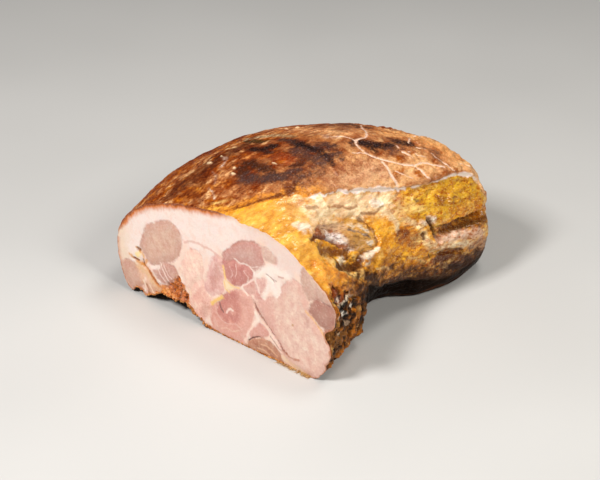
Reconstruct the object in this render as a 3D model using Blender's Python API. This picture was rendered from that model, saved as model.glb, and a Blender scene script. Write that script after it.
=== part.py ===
"""About two thirds of a boned cooked ham, cut straight across the leg and lying on its boned side.

The ham is one piece of meat, so it is one closed solid.  Its form is a loft: closed sections across the
leg follow each other from the flat cut face to the rounded butt end.  Local bulges and hollows then shape
the knuckle in its socket, the cleft under the cut and the waist behind the lobe beside it.  The rind ends
along a trim line, where it stands proud of the fat, and the slot left by the boning knife runs along the
butt end.

Frame: +X along the cut face, +Y away from it along the leg, +Z up, origin at the bottom centre of its box.
"""

from typing import NamedTuple

import bmesh
import bpy
import numpy as np
from mathutils import Vector

MM = 0.001

# Driving sizes of the ham, in millimetres
CUT_Y = -125.0  # the plane of the cut face
CLOSING_Y = 96.0  # from here the butt end rounds off
BUTT_Y = 125.0  # the flat spot at the end of the butt
RING_STEP = 5.0
CLOSING_RINGS = 8
CLOSING_ROUNDNESS = 2.3  # 2 would close the butt like an ellipse, more makes it blunter
CLOSED_SHARE = 0.2  # size of the last ring against an open one
HEART_HEIGHT = 0.42  # height of the point that the butt closes on, against the crown's
HEART_OFFSET = 12.0  # how far that point lies to the right of the middle
RIND_THICKNESS = 2.5
FOOT_FULLNESS_LEFT = 1.7
FOOT_FULLNESS_RIGHT = 2.2

# Points along each stretch of a section
RIND_POINTS = 27
SIDE_POINTS = 11
FOOT_POINTS = 8
BASE_POINTS = 14

HAM_NAME = "ham"
SLOT_NAME = "boning_slot_cutter"


class Station(NamedTuple):
    """One section across the leg at the distance y along it, in millimetres."""

    y: float
    left: float  # the widest point on the left, and its height
    left_z: float
    right: float  # the widest point on the right, and its height
    right_z: float
    crown: float  # the highest point, and its height
    crown_z: float
    foot_left: float  # where the section meets the base
    foot_right: float
    full_left: float  # fullness of the upper quarters: 1 is a straight slope, 2 an ellipse
    full_right: float
    trim: float  # where the rind ends


STATIONS = (
    Station(-125, -112, 44, 124, 61, 52, 116.5, -98, 104, 2.15, 1.6, 26),
    Station(-85, -120, 50, 114, 50, 36, 128, -100, 91, 1.95, 1.6, 43),
    Station(-45, -124, 54, 103, 46, 28, 132.5, -98, 86, 1.9, 1.6, 59),
    Station(-5, -122, 54, 101, 40, 26, 132.5, -94, 88, 1.9, 1.7, 70),
    Station(35, -113, 52, 109, 38, 28, 128, -86, 97, 1.9, 1.9, 84),
    Station(75, -94, 50, 113, 40, 36, 117, -68, 99, 1.9, 2.1, 92),
    Station(105, -72, 48, 112, 44, 46, 106, -42, 96, 1.9, 2.3, 98),
    Station(128, -44, 46, 106, 46, 52, 98, -24, 86, 1.9, 2.3, 98),
)


class Push(NamedTuple):
    """A bulge (positive depth) or hollow (negative): the surface near the centre moves along a direction."""

    name: str
    centre: tuple
    radii: tuple
    direction: tuple
    depth: float
    firmness: float  # 2 is a soft swelling, more makes a flat bottom with steep walls


PUSHES = (
    Push("hip_socket", (86, -60, 92), (30, 38, 34), (0.8, 0.1, 0.6), -8.0, 3.0),
    Push("knuckle", (82, -56, 88), (17, 24, 19), (0.8, 0.1, 0.6), 6.0, 2.0),
    Push("waist", (92, -17, 0), (44, 44, 42), (1.0, 0.0, 0.0), -13.0, 4.0),
    Push("cleft", (-52, -125, 0), (46, 60, 24), (0.0, 0.0, 1.0), 9.0, 2.0),
)

# The boning slot is a wedge between two triangles: each has its place along the leg, the height of its
# upper and lower lip, how deep it runs into the side and the height of its inner edge
SLOT_ENDS = ((38.0, 68.0, 59.0, 4.0, 64.0), (112.0, 62.0, 44.0, 16.0, 57.0))
SLOT_SIDE_X = 107.0  # the ham's side along the slot
SLOT_CLEARANCE = 14.0  # how far the cutter stands out of that side

MATERIALS = {
    "smoked_rind": ((0.42, 0.17, 0.05, 1.0), 0.5),
    "smoked_fat": ((0.62, 0.38, 0.12, 1.0), 0.45),
    "cut_meat": ((0.72, 0.40, 0.34, 1.0), 0.4),
}


def between_stations(y):
    """The station at y: each size runs through the listed ones on a curve that never overshoots them."""
    table = np.array(STATIONS)
    places = table[:, 0]
    steps = np.diff(places)
    slopes = np.diff(table, axis=0) / steps[:, None]
    tangents = np.vstack([slopes[:1], (slopes[:-1] + slopes[1:]) / 2, slopes[-1:]])
    turning = slopes[:-1] * slopes[1:] <= 0
    tangents[1:-1][turning] = 0
    i = int(np.clip(np.searchsorted(places, y) - 1, 0, len(steps) - 1))
    t = (y - places[i]) / steps[i]
    row = (
        (1 + 2 * t) * (1 - t) ** 2 * table[i]
        + t * (1 - t) ** 2 * steps[i] * tangents[i]
        + t * t * (3 - 2 * t) * table[i + 1]
        - t * t * (1 - t) * steps[i] * tangents[i + 1]
    )
    return Station(*row)


def quarter(corner, width, height, fullness, start, end, count):
    """Points of a superellipse quarter about a corner, from one angle in degrees to another."""
    angles = np.radians(np.linspace(start, end, count))
    across = np.cos(angles)
    up = np.sin(angles)
    power = 2.0 / fullness
    x = corner[0] + width * np.sign(across) * np.abs(across) ** power
    z = corner[1] + height * np.sign(up) * np.abs(up) ** power
    return np.column_stack([x, z])


def spaced(curve, start, end, count):
    """Evenly spaced points along a curve, from one length along it up to another, without the last."""
    lengths = np.concatenate([[0], np.cumsum(np.linalg.norm(np.diff(curve, axis=0), axis=1))])
    places = np.linspace(start, lengths[-1] if end is None else end, count, endpoint=False)
    return np.column_stack([np.interp(places, lengths, curve[:, k]) for k in range(2)])


def upper_outline(s):
    """The arch of a section, from its widest point on the left over the crown to that on the right."""
    left = quarter((s.crown, s.left_z), s.crown - s.left, s.crown_z - s.left_z, s.full_left, 180, 90, 120)
    right = quarter((s.crown, s.right_z), s.right - s.crown, s.crown_z - s.right_z, s.full_right, 90, 0, 120)
    return np.vstack([left, right[1:]])


def section(s):
    """The closed outline of a section, clockwise from its left side as seen from the cut."""
    arch = upper_outline(s)
    lengths = np.concatenate([[0], np.cumsum(np.linalg.norm(np.diff(arch, axis=0), axis=1))])
    trim = np.interp(s.trim, arch[:, 0], lengths)
    rind = spaced(arch, 0, trim, RIND_POINTS)
    edge = spaced(arch, trim, None, SIDE_POINTS)[:1]
    side = spaced(arch, trim, None, SIDE_POINTS)
    inward = np.array([s.crown, 0.0]) - side
    inward /= np.linalg.norm(inward, axis=1)[:, None]
    fade = np.cos(np.linspace(0, np.pi / 2, SIDE_POINTS)) ** 2
    side += inward * (RIND_THICKNESS * fade)[:, None]
    foot_right = quarter(
        (s.foot_right, s.right_z), s.right - s.foot_right, s.right_z, FOOT_FULLNESS_RIGHT, 0, -90, FOOT_POINTS
    )
    base = np.column_stack([np.linspace(s.foot_right, s.foot_left, BASE_POINTS), np.zeros(BASE_POINTS)])
    foot_left = quarter(
        (s.foot_left, s.left_z), s.foot_left - s.left, s.left_z, FOOT_FULLNESS_LEFT, 270, 180, FOOT_POINTS
    )
    return np.vstack([rind, edge, side, foot_right[:-1], base[:-1], foot_left[:-1]])


def ring_places():
    """Each ring's place along the leg and how far its section is open, from 1 to the closed share."""
    rings = [(y, 1.0) for y in np.arange(CUT_Y, CLOSING_Y, RING_STEP)]
    last_angle = np.arccos(CLOSED_SHARE ** (CLOSING_ROUNDNESS / 2))
    reach = np.sin(last_angle) ** (2 / CLOSING_ROUNDNESS)
    for angle in np.linspace(0, last_angle, CLOSING_RINGS):
        along = np.sin(angle) ** (2 / CLOSING_ROUNDNESS) / reach
        open_share = np.cos(angle) ** (2 / CLOSING_ROUNDNESS)
        rings.append((CLOSING_Y + (BUTT_Y - CLOSING_Y) * along, open_share))
    return rings


def loft_points():
    """All rings as an array: ring, point on the ring, x y z."""
    rings = []
    for y, open_share in ring_places():
        station = between_stations(y)
        outline = section(station)
        heart = np.array([(station.left + station.right) / 2 + HEART_OFFSET, station.crown_z * HEART_HEIGHT])
        outline = heart + (outline - heart) * open_share
        rings.append(np.column_stack([outline[:, 0], np.full(len(outline), y), outline[:, 1]]))
    return np.array(rings)


def pushed(points, push):
    """The points after one bulge or hollow, which fades smoothly to nothing at its radii."""
    away = np.linalg.norm((points - np.array(push.centre)) / np.array(push.radii), axis=-1)
    near = np.clip(1 - away**push.firmness, 0, 1)
    direction = np.array(push.direction) / np.linalg.norm(push.direction)
    return points + (near**2)[..., None] * push.depth * direction


def ham_mesh():
    """The lofted skin between its two flat ends, with the box's bottom centre at the origin."""
    points = loft_points()
    for push in PUSHES:
        points = pushed(points, push)
    low = points.min(axis=(0, 1))
    high = points.max(axis=(0, 1))
    points -= np.array([(low[0] + high[0]) / 2, (low[1] + high[1]) / 2, low[2]])
    around = points.shape[1]
    mesh = bmesh.new()
    rings = [[mesh.verts.new(Vector(p) * MM) for p in ring] for ring in points]
    for near, far in zip(rings, rings[1:]):
        for k in range(around):
            n = (k + 1) % around
            face = mesh.faces.new((near[k], far[k], far[n], near[n]))
            face.material_index = 0 if k < RIND_POINTS else 1
    cut = mesh.faces.new(rings[0])
    cut.material_index = 2
    butt = mesh.faces.new(list(reversed(rings[-1])))
    butt.material_index = 1
    bmesh.ops.recalc_face_normals(mesh, faces=mesh.faces)
    data = bpy.data.meshes.new(HAM_NAME)
    mesh.to_mesh(data)
    mesh.free()
    return data


def slot_mesh():
    """The wedge that the boning slot is cut with."""
    mesh = bmesh.new()
    for y, upper, lower, depth, inner in SLOT_ENDS:
        outer_x = SLOT_SIDE_X + SLOT_CLEARANCE
        for x, z in ((outer_x, upper), (outer_x, lower), (SLOT_SIDE_X - depth, inner)):
            mesh.verts.new(Vector((x, y, z)) * MM)
    bmesh.ops.convex_hull(mesh, input=mesh.verts)
    data = bpy.data.meshes.new(SLOT_NAME)
    mesh.to_mesh(data)
    mesh.free()
    return data


def material(name):
    colour, roughness = MATERIALS[name]
    made = bpy.data.materials.new(name)
    made.use_nodes = True
    surface = made.node_tree.nodes["Principled BSDF"]
    surface.inputs["Base Color"].default_value = colour
    surface.inputs["Roughness"].default_value = roughness
    return made


def collection(name):
    made = bpy.data.collections.new(name)
    bpy.context.scene.collection.children.link(made)
    return made


def main():
    for obj in list(bpy.data.objects):
        bpy.data.objects.remove(obj)

    ham = bpy.data.objects.new(HAM_NAME, ham_mesh())
    collection("cooked_ham").objects.link(ham)
    for name in MATERIALS:
        ham.data.materials.append(material(name))

    slot = bpy.data.objects.new(SLOT_NAME, slot_mesh())
    collection("cutters").objects.link(slot)
    slot.hide_render = True
    slot.display_type = "WIRE"

    cut = ham.modifiers.new("boning_slot", "BOOLEAN")
    cut.operation = "DIFFERENCE"
    cut.object = slot


main()
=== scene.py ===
import math
from typing import NamedTuple

import bmesh
import bpy
import numpy as np
from mathutils import Matrix, Vector
from mathutils.geometry import delaunay_2d_cdt
from mathutils.kdtree import KDTree


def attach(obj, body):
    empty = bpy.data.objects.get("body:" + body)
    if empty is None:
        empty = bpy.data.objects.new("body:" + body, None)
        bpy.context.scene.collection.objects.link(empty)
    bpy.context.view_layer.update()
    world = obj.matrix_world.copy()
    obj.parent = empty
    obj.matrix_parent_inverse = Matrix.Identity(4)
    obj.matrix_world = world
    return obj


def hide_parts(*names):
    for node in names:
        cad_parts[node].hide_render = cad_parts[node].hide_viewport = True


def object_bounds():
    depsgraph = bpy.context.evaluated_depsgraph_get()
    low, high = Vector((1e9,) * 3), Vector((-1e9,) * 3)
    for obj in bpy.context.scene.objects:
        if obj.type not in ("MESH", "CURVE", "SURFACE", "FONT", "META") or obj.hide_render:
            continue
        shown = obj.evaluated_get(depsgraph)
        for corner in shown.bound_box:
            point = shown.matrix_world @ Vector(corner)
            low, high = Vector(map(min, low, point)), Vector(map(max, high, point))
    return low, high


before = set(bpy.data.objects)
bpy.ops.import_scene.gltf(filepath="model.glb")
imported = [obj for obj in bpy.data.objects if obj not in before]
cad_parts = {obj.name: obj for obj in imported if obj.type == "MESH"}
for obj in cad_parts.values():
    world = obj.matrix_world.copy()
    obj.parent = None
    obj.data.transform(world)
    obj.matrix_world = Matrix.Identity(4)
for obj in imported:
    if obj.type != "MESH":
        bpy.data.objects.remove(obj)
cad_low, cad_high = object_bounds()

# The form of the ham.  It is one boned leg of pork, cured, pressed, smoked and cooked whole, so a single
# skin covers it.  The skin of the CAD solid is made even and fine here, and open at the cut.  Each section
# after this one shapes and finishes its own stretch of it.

MM = 0.001
CUT_Y = cad_low[1] / MM  # the plane of the cut, in millimetres like all sizes below
FAR = 1000.0  # a distance out of reach of everything
TINY = 1e-9  # keeps a division by a length squared from failing
SKIN_STEP = 1.05
SPARE_LENGTH = 12.0  # how far the form runs past the cut before it is sliced
FACET_ROUNDS = 34  # rounds of smoothing that melt the CAD's facets
RIM_ROUNDS = 6
RIM_REACH = 4.0  # how far from the cut the rim is smoothed
LEFT_TO_RIGHT = (1, 0, 0)
UPWARD = (0, 0, 1)

# Constants of the noise: what spreads the seeds, what scrambles a cell's number, how many steps its angles
# have, and its gain
SEED_SHIFT = np.array([12.71, 31.13, 7.37])
CELL_FACTORS = np.array([73856093, 19349663, 83492791])
SCRAMBLE = 1274126177
TURNS = 1024
NOISE_GAIN = 1.7


def rise(value, low, high):
    """0 at low, 1 at high, with an even ease between them and nothing beyond."""
    t = np.clip((value - low) / (high - low), 0, 1)
    return t * t * (3 - 2 * t)


def fall(value, low, high):
    """1 at low, 0 at high: the rest of rise."""
    return 1 - rise(value, low, high)


def noise(places, size, seed):
    """Smooth noise from about -1 to 1, in lumps of that size; three sizes stretch the lumps."""
    p = places / np.asarray(size, float) + seed * SEED_SHIFT
    cell = np.floor(p)
    within = p - cell
    cell = cell.astype(np.int64)
    ease = within**3 * (within * (within * 6 - 15) + 10)
    total = np.zeros(len(p))
    for corner in np.ndindex(2, 2, 2):
        key = (cell + corner) @ CELL_FACTORS
        key = (key ^ (key >> 13)) * SCRAMBLE
        key ^= key >> 15
        turn = (key & (TURNS - 1)) * (math.tau / TURNS)
        tilt = ((key >> 10) & (TURNS - 1)) / ((TURNS - 1) / 2) - 1
        flat = np.sqrt(1 - tilt**2)
        slope = np.stack([np.cos(turn) * flat, np.sin(turn) * flat, tilt], axis=1)
        weight = np.where(corner, ease, 1 - ease).prod(axis=1)
        total += weight * (slope * (within - corner)).sum(axis=1)
    return total * NOISE_GAIN


def layered(places, size, seed, layers=3, keep=0.5):
    """Noise with finer noise on it, each layer half the size and keep times as strong."""
    size = np.asarray(size, float)
    return sum(noise(places, size / 2**k, seed + k) * keep**k for k in range(layers))


def curve_through(points, steps=8, closed=False):
    """Many points on a smooth curve through a few."""
    p = np.array(points, float)
    if closed:
        before, start, after, far = np.roll(p, 1, 0), p, np.roll(p, -1, 0), np.roll(p, -2, 0)
    else:
        padded = np.vstack([2 * p[0] - p[1], p, 2 * p[-1] - p[-2]])
        before, start, after, far = padded[:-3], padded[1:-2], padded[2:-1], padded[3:]
    t = np.linspace(0, 1, steps, endpoint=False)[:, None]
    runs = [
        0.5 * (2 * b + (c - a) * t + (2 * a - 5 * b + 4 * c - d) * t**2 + (3 * b - a - 3 * c + d) * t**3)
        for a, b, c, d in zip(before, start, after, far)
    ]
    return np.vstack(runs + [p[:1] if closed else p[-1:]])


class Nearness(NamedTuple):
    """Where places lie against a line: how far off, offset from it, and its run there."""

    gap: np.ndarray
    offset: np.ndarray
    run: np.ndarray


def near_line(places, line, reach):
    """The nearness of places to a line of many points; one beyond reach is FAR off."""
    gap = np.full(len(places), FAR)
    offset = np.zeros_like(places)
    direction = np.zeros_like(places)
    close = np.where(np.all((places > line.min(0) - reach) & (places < line.max(0) + reach), axis=1))[0]
    here = places[close]
    for start, end in zip(line, line[1:]):
        run = end - start
        t = np.clip((here - start) @ run / max(run @ run, TINY), 0, 1)
        away = here - start - t[:, None] * run
        distance = np.linalg.norm(away, axis=1)
        nearer = distance < gap[close]
        at = close[nearer]
        gap[at] = distance[nearer]
        offset[at] = away[nearer]
        direction[at] = run
    return Nearness(gap, offset, direction)


def new_mesh(name, points, triangles):
    """A mesh of triangles from points in millimetres."""
    data = bpy.data.meshes.new(name)
    data.vertices.add(len(points))
    data.vertices.foreach_set("co", (points * MM).astype(np.float32).ravel())
    data.loops.add(triangles.size)
    data.loops.foreach_set("vertex_index", triangles.astype(np.int32).ravel())
    data.polygons.add(len(triangles))
    data.polygons.foreach_set("loop_start", np.arange(0, triangles.size, 3, dtype=np.int32))
    data.update(calc_edges=True)
    data.validate()
    return data


def read_mesh(data):
    """A mesh's points in millimetres and its triangles."""
    points = np.empty(len(data.vertices) * 3)
    data.vertices.foreach_get("co", points)
    data.calc_loop_triangles()
    triangles = np.empty(len(data.loop_triangles) * 3, np.int32)
    data.loop_triangles.foreach_get("vertices", triangles)
    return points.reshape(-1, 3) / MM, triangles.reshape(-1, 3).astype(np.int64)


class Skin:
    """The ham's outer surface: points in millimetres, triangles, the rim at the cut, and what is settled."""

    def __init__(self, points, triangles):
        self.points = points
        self.triangles = triangles
        count = len(points)
        pairs = np.sort(triangles[:, [0, 1, 1, 2, 2, 0]].reshape(-1, 2), axis=1)
        keys, uses = np.unique(pairs[:, 0] * count + pairs[:, 1], return_counts=True)
        self.first, self.second = keys // count, keys % count
        self.degree = np.bincount(self.first, minlength=count) + np.bincount(self.second, minlength=count)
        self.open_edges = np.stack([self.first, self.second], axis=1)[uses == 1]
        self.on_rim = np.zeros(count, bool)
        self.on_rim[self.open_edges] = True
        self.settled = np.zeros(count, bool)

    def normals(self):
        """The unit normal at each point."""
        corners = self.points[self.triangles]
        flat = np.cross(corners[:, 1] - corners[:, 0], corners[:, 2] - corners[:, 0])
        owners = self.triangles.ravel()
        total = [np.bincount(owners, np.repeat(flat[:, k], 3), len(self.points)) for k in range(3)]
        total = np.stack(total, axis=1)
        return total / np.linalg.norm(total, axis=1)[:, None]

    def neighbour_sum(self, values):
        """The sum of a value over the neighbours of each point."""
        count = len(values)
        ahead = np.bincount(self.first, values[self.second], count)
        return ahead + np.bincount(self.second, values[self.first], count)

    def ease(self, rounds, held=None):
        """Moves each point that isn't held half way to its neighbours' mean, for some rounds."""
        kept = self.points if held is None else self.points[held]
        for _ in range(rounds):
            sums = np.column_stack([self.neighbour_sum(v) for v in self.points.T])
            self.points = (self.points + sums / self.degree[:, None]) / 2
            if held is not None:
                self.points[held] = kept

    def push(self, amount, direction=None):
        """Moves the points that aren't settled outward by an amount each, the rim only within the cut."""
        direction = self.outward if direction is None else np.asarray(direction, float)
        step = direction * np.asarray(amount)[:, None]
        step[self.settled] = 0
        step[self.on_rim, 1] = 0
        self.points = self.points + step
        self.points[:, 2] = np.maximum(self.points[:, 2], 0)

    def rim_loop(self):
        """The numbers of the rim's points, in order."""
        links = {}
        for a, b in self.open_edges.tolist():
            links.setdefault(a, []).append(b)
            links.setdefault(b, []).append(a)
        start = int(self.open_edges[0, 0])
        loop = [start]
        last, here = None, start
        while True:
            ahead = [n for n in links[here] if n != last]
            last, here = here, ahead[0]
            if here == start:
                return np.array(loop)
            loop.append(here)


def fine_form(node):
    """The CAD solid's skin, run past the cut and remeshed evenly."""
    mesh = bmesh.new()
    mesh.from_mesh(node.data)
    bmesh.ops.remove_doubles(mesh, verts=mesh.verts, dist=0.01 * MM)
    cut_faces = [f for f in mesh.faces if max(v.co.y for v in f.verts) < (CUT_Y + 0.5) * MM]
    bmesh.ops.delete(mesh, geom=cut_faces, context="FACES")
    grown = bmesh.ops.extrude_edge_only(mesh, edges=[e for e in mesh.edges if e.is_boundary])
    spare = [g for g in grown["geom"] if isinstance(g, bmesh.types.BMVert)]
    bmesh.ops.translate(mesh, verts=spare, vec=(0, -SPARE_LENGTH * MM, 0))
    bmesh.ops.holes_fill(mesh, edges=[e for e in mesh.edges if e.is_boundary])
    bmesh.ops.recalc_face_normals(mesh, faces=mesh.faces)
    rough_form = bpy.data.objects.new("form", bpy.data.meshes.new("form"))
    mesh.to_mesh(rough_form.data)
    mesh.free()
    bpy.context.scene.collection.objects.link(rough_form)
    even = rough_form.modifiers.new("even", "REMESH")
    even.mode = "VOXEL"
    even.voxel_size = SKIN_STEP * MM
    view = bpy.context.evaluated_depsgraph_get()
    made = bpy.data.meshes.new_from_object(rough_form.evaluated_get(view))
    bpy.data.objects.remove(rough_form)
    return read_mesh(made)


def sliced(points, triangles):
    """The part of a mesh beyond the plane of the cut, open there."""
    mesh = bmesh.new()
    mesh.from_mesh(new_mesh("whole", points, triangles))
    everything = list(mesh.verts) + list(mesh.edges) + list(mesh.faces)
    plane_point = (0, CUT_Y * MM, 0)
    bmesh.ops.bisect_plane(mesh, geom=everything, plane_co=plane_point, plane_no=(0, 1, 0), clear_inner=True)
    bmesh.ops.triangulate(mesh, faces=mesh.faces)
    data = bpy.data.meshes.new("sliced")
    mesh.to_mesh(data)
    mesh.free()
    return read_mesh(data)


whole = Skin(*fine_form(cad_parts["ham"]))
whole.ease(FACET_ROUNDS)
skin = Skin(*sliced(whole.points, whole.triangles))
skin.points[skin.on_rim, 1] = CUT_Y
skin.ease(RIM_ROUNDS, held=skin.on_rim | (skin.points[:, 1] >= CUT_Y + RIM_REACH))
skin.points[:, 2] = np.maximum(skin.points[:, 2] - skin.points[:, 2].min(), 0)
skin.outward = skin.normals()  # all relief is raised along the plain form's own normals
form = skin.points.copy()  # where each point lies on the plain form: all marks below are placed on it
form_x, form_y, form_z = form.T

tree = KDTree(len(form))
for index, place in enumerate(form):
    tree.insert(place, index)
tree.balance()


def on_skin(points):
    """A smooth line on the ham through a few places given in millimetres."""
    return curve_through([tree.find(p)[0] for p in points])


# The trim line runs from the cut over the edge of the dome and round the corner of the butt
TRIM_LINE = (
    (8, -137, 112), (12, -122, 116), (22, -109, 121), (31, -101, 124), (39, -92, 126), (43, -84, 126),
    (48, -75, 126), (54, -62, 121), (59, -44, 118), (65, -19, 112), (76, 13, 104), (84, 35, 100),
    (88, 55, 98), (90, 72, 97), (94, 90, 93), (99, 101, 84), (104, 104, 72), (104, 110, 58), (98, 118, 44),
    (88, 123, 30), (82, 125, 12),
)
RIND_FOOT = 25.0  # height at which the rind ends on the left and at the back
SIDE_FOOT = 6.0  # height at which the trimmed side ends on the right
ALL_RIND_X = -10.0  # everything to the left of this is rind

near_trim = near_line(form, on_skin(TRIM_LINE), reach=FAR)
turn = (np.cross(near_trim.run, near_trim.offset) * skin.outward).sum(axis=1)
trim = np.where((turn > 0) | (form_x < ALL_RIND_X), 1, -1) * near_trim.gap  # above 0 on the rind
torn = rise(form_y, -100, -80) * fall(form_y, -40, -20)
trim += noise(form, 9, 1) * (0.8 + 2.2 * torn) + noise(form, 3.5, 2) * (0.4 + 0.8 * torn)
foot = np.where(trim > 0, RIND_FOOT, SIDE_FOOT) + noise(form, (45, 30, 45), 3) * 6 + noise(form, 9, 4) * 1.5
above = form_z - foot

# Soft lumps all over, and the rind's edge standing proud of what was trimmed beside it
LUMPS = 1.3
LEDGE = 1.7
LEDGE_WIDTH = 17.0
ledge_share = 0.05 + 0.95 * rise(form_y, -75, -35)
ledge = LEDGE * ledge_share * rise(trim, -0.4, 1.0) * fall(trim, 3, LEDGE_WIDTH)
skin.push(LUMPS * layered(form, (34, 46, 34), 5, layers=2) + ledge * rise(above, 0, 8))

# The waist: the side of the butt is undercut below this line, and the lobe beside the cut ends in a corner
# there.  The line is given in side view (y, z).
OVERHANG_LINE = ((-64, 58), (-44, 48), (-18, 38), (8, 29), (23, 25), (40, 19))
UNDERCUT = 7.0
WAIST_ENDS = (-62, -56, 15, 55)  # where along the leg the undercut starts and fades out
wander = noise(form, 10, 6) * 2.0 + noise(form, 4, 7)
below_lip = np.interp(form_y, *np.transpose(OVERHANG_LINE)) + wander - form_z
undercut = rise(below_lip, 0, 5) * rise(form_y + noise(form, 9, 8) * 1.5, *WAIST_ENDS[:2])
undercut *= fall(form_y, *WAIST_ENDS[2:]) * rise(form_x, 30, 60) * (trim < 0)
skin.push(-UNDERCUT * undercut, LEFT_TO_RIGHT)

# The pressed leg doesn't lie flat at its cut end: torn meat is missing under the left half of it, where the
# foot is ragged.  On the right the lobe swells past the knife's line and is notched below that.
ARCH_LINE = (
    (-106, 0), (-97, 1), (-92, 5), (-87, 5), (-82, 0), (-74, 1), (-66, 3), (-58, 4.5), (-48, 4), (-40, 6),
    (-31, 8), (-26, 6), (-19, 4), (-14, 1), (-11, 0),
)
ARCH_LENGTH = 60.0
ARCH_REACH = 34.0  # how high up the arch still lifts the meat
LOBE_SHAPES = ((5.5, (124, CUT_Y, 74), (20, 26, 22)), (-8.0, (121, CUT_Y, 45), (14, 14, 7)))
RAGGED_DEPTH = 1.5
RAGGED_ENDS = (-104, -84, 2, 14)  # where across the cut the ragged foot starts and fades out
arch = np.interp(form_x + noise(form, 5, 9), *np.transpose(ARCH_LINE))
arch *= fall(form_y, CUT_Y + 5, CUT_Y + ARCH_LENGTH)
skin.push(arch * fall(form_z, 0, ARCH_REACH), UPWARD)
for height, centre, radii in LOBE_SHAPES:
    skin.push(height * np.exp(-(((form - centre) / radii) ** 2).sum(axis=1)), LEFT_TO_RIGHT)
ragged_foot = fall(form_z, 14, 30) * fall(form_y, CUT_Y + 5, CUT_Y + 16)
ragged_foot *= rise(form_x, *RAGGED_ENDS[:2]) * fall(form_x, *RAGGED_ENDS[2:])
skin.push(RAGGED_DEPTH * ragged_foot * layered(form, (5, 9, 5), 10, layers=3, keep=0.7))

# Which stretch of skin each triangle belongs to
triangle_trim = trim[skin.triangles].mean(axis=1)
triangle_above = above[skin.triangles].mean(axis=1)
is_rind = (triangle_trim > 0) & (triangle_above > 0)
is_side = (triangle_trim <= 0) & (triangle_above > 0)


# The rind: the leg's own skin, scalded, rubbed and smoked until it is brown and leathery.  It carries dark
# burnt patches, splits in a net over the butt where the fat shows pale, and ends in a curled pale edge at
# the trim line.

# Colours in all tables are as on a screen, 0 to 255
RIND_LIGHT = (236, 178, 120)
RIND_DEEP = (178, 92, 16)
PALE_EDGE = (252, 232, 218)
SMOKE = np.array((0.5, 0.85, 1.1))  # what a layer of smoke takes out of red, green and blue light
# Brush strokes on the rind seen from above: colour, strength, width and points (x, y)
RIND_STAINS = (
    ((178, 92, 12), 0.9, 14, ((-94, -112), (-88, -62), (-80, -16))),
    ((244, 176, 118), 0.85, 8, ((-34, 12), (-10, 20), (12, 28), (30, 36))),
    ((112, 54, 22), 0.8, 9, ((-58, -112), (-54, -84), (-50, -56), (-48, -34))),
    ((210, 128, 44), 0.7, 7, ((-34, -112), (-24, -98), (-12, -92))),
    ((226, 156, 100), 0.7, 28, ((-46, 30), (-14, 38), (12, 48))),
    ((120, 66, 44), 0.5, 10, ((-24, 40), (-10, 48), (2, 34))),
    ((240, 168, 98), 0.7, 15, ((18, 64), (42, 80), (74, 92))),
    ((238, 176, 112), 0.8, 7, ((-28, -2), (-4, 0), (18, 4))),
    ((214, 158, 120), 0.6, 12, ((50, -40), (56, -10), (60, 8))),
    ((222, 132, 48), 0.7, 6, ((-30, -50), (-22, -56), (-10, -47))),
    ((198, 92, 30), 0.8, 7, ((-4, -46), (6, -42), (13, -46))),
    ((120, 58, 24), 0.8, 8, ((-64, -96), (-50, -88), (-41, -97))),
    ((130, 62, 26), 0.6, 6, ((-56, -116), (-40, -110), (-24, -116))),
    ((198, 190, 150), 0.6, 3.5, ((-62, -14), (-48, -9), (-36, -6), (-20, -4))),
    ((72, 56, 18), 0.9, 5, ((-57, -20), (-47, -21), (-38, -21))),
    ((206, 180, 166), 0.6, 1.5, ((-52, -59), (-46, -60), (-40, -66), (-36, -74))),
    ((214, 190, 174), 0.6, 1.3, ((-38, -84), (-31, -88), (-25, -96))),
    ((224, 196, 168), 0.7, 1.2, ((-26, -102), (-18, -106), (-11, -111))),
    ((240, 190, 110), 0.8, 2.0, ((-8, -117), (0, -113), (4, -108))),
    ((222, 180, 150), 0.5, 3, ((4, 12), (9, 6), (14, 14))),
    ((156, 78, 26), 0.7, 3, ((87, 48), (88, 62), (90, 74), (94, 88))),
    ((250, 178, 60), 0.8, 5, ((-8, -124), (6, -122), (16, -115), (28, -106))),
)
# The scorched line where the rind turns golden beside the cut end of the trim line
RIND_SEAM = (
    ((104, 42, 10), 0.85, 1.7, ((14, -124), (18, -117), (22, -108), (28, -100), (35, -92))),
    ((92, 36, 12), 0.9, 3.0, ((35, -92), (41, -84), (40, -72), (38, -66))),
    ((236, 170, 74), 0.8, 2.2, ((22, -118), (29, -107), (37, -99))),
)
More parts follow.
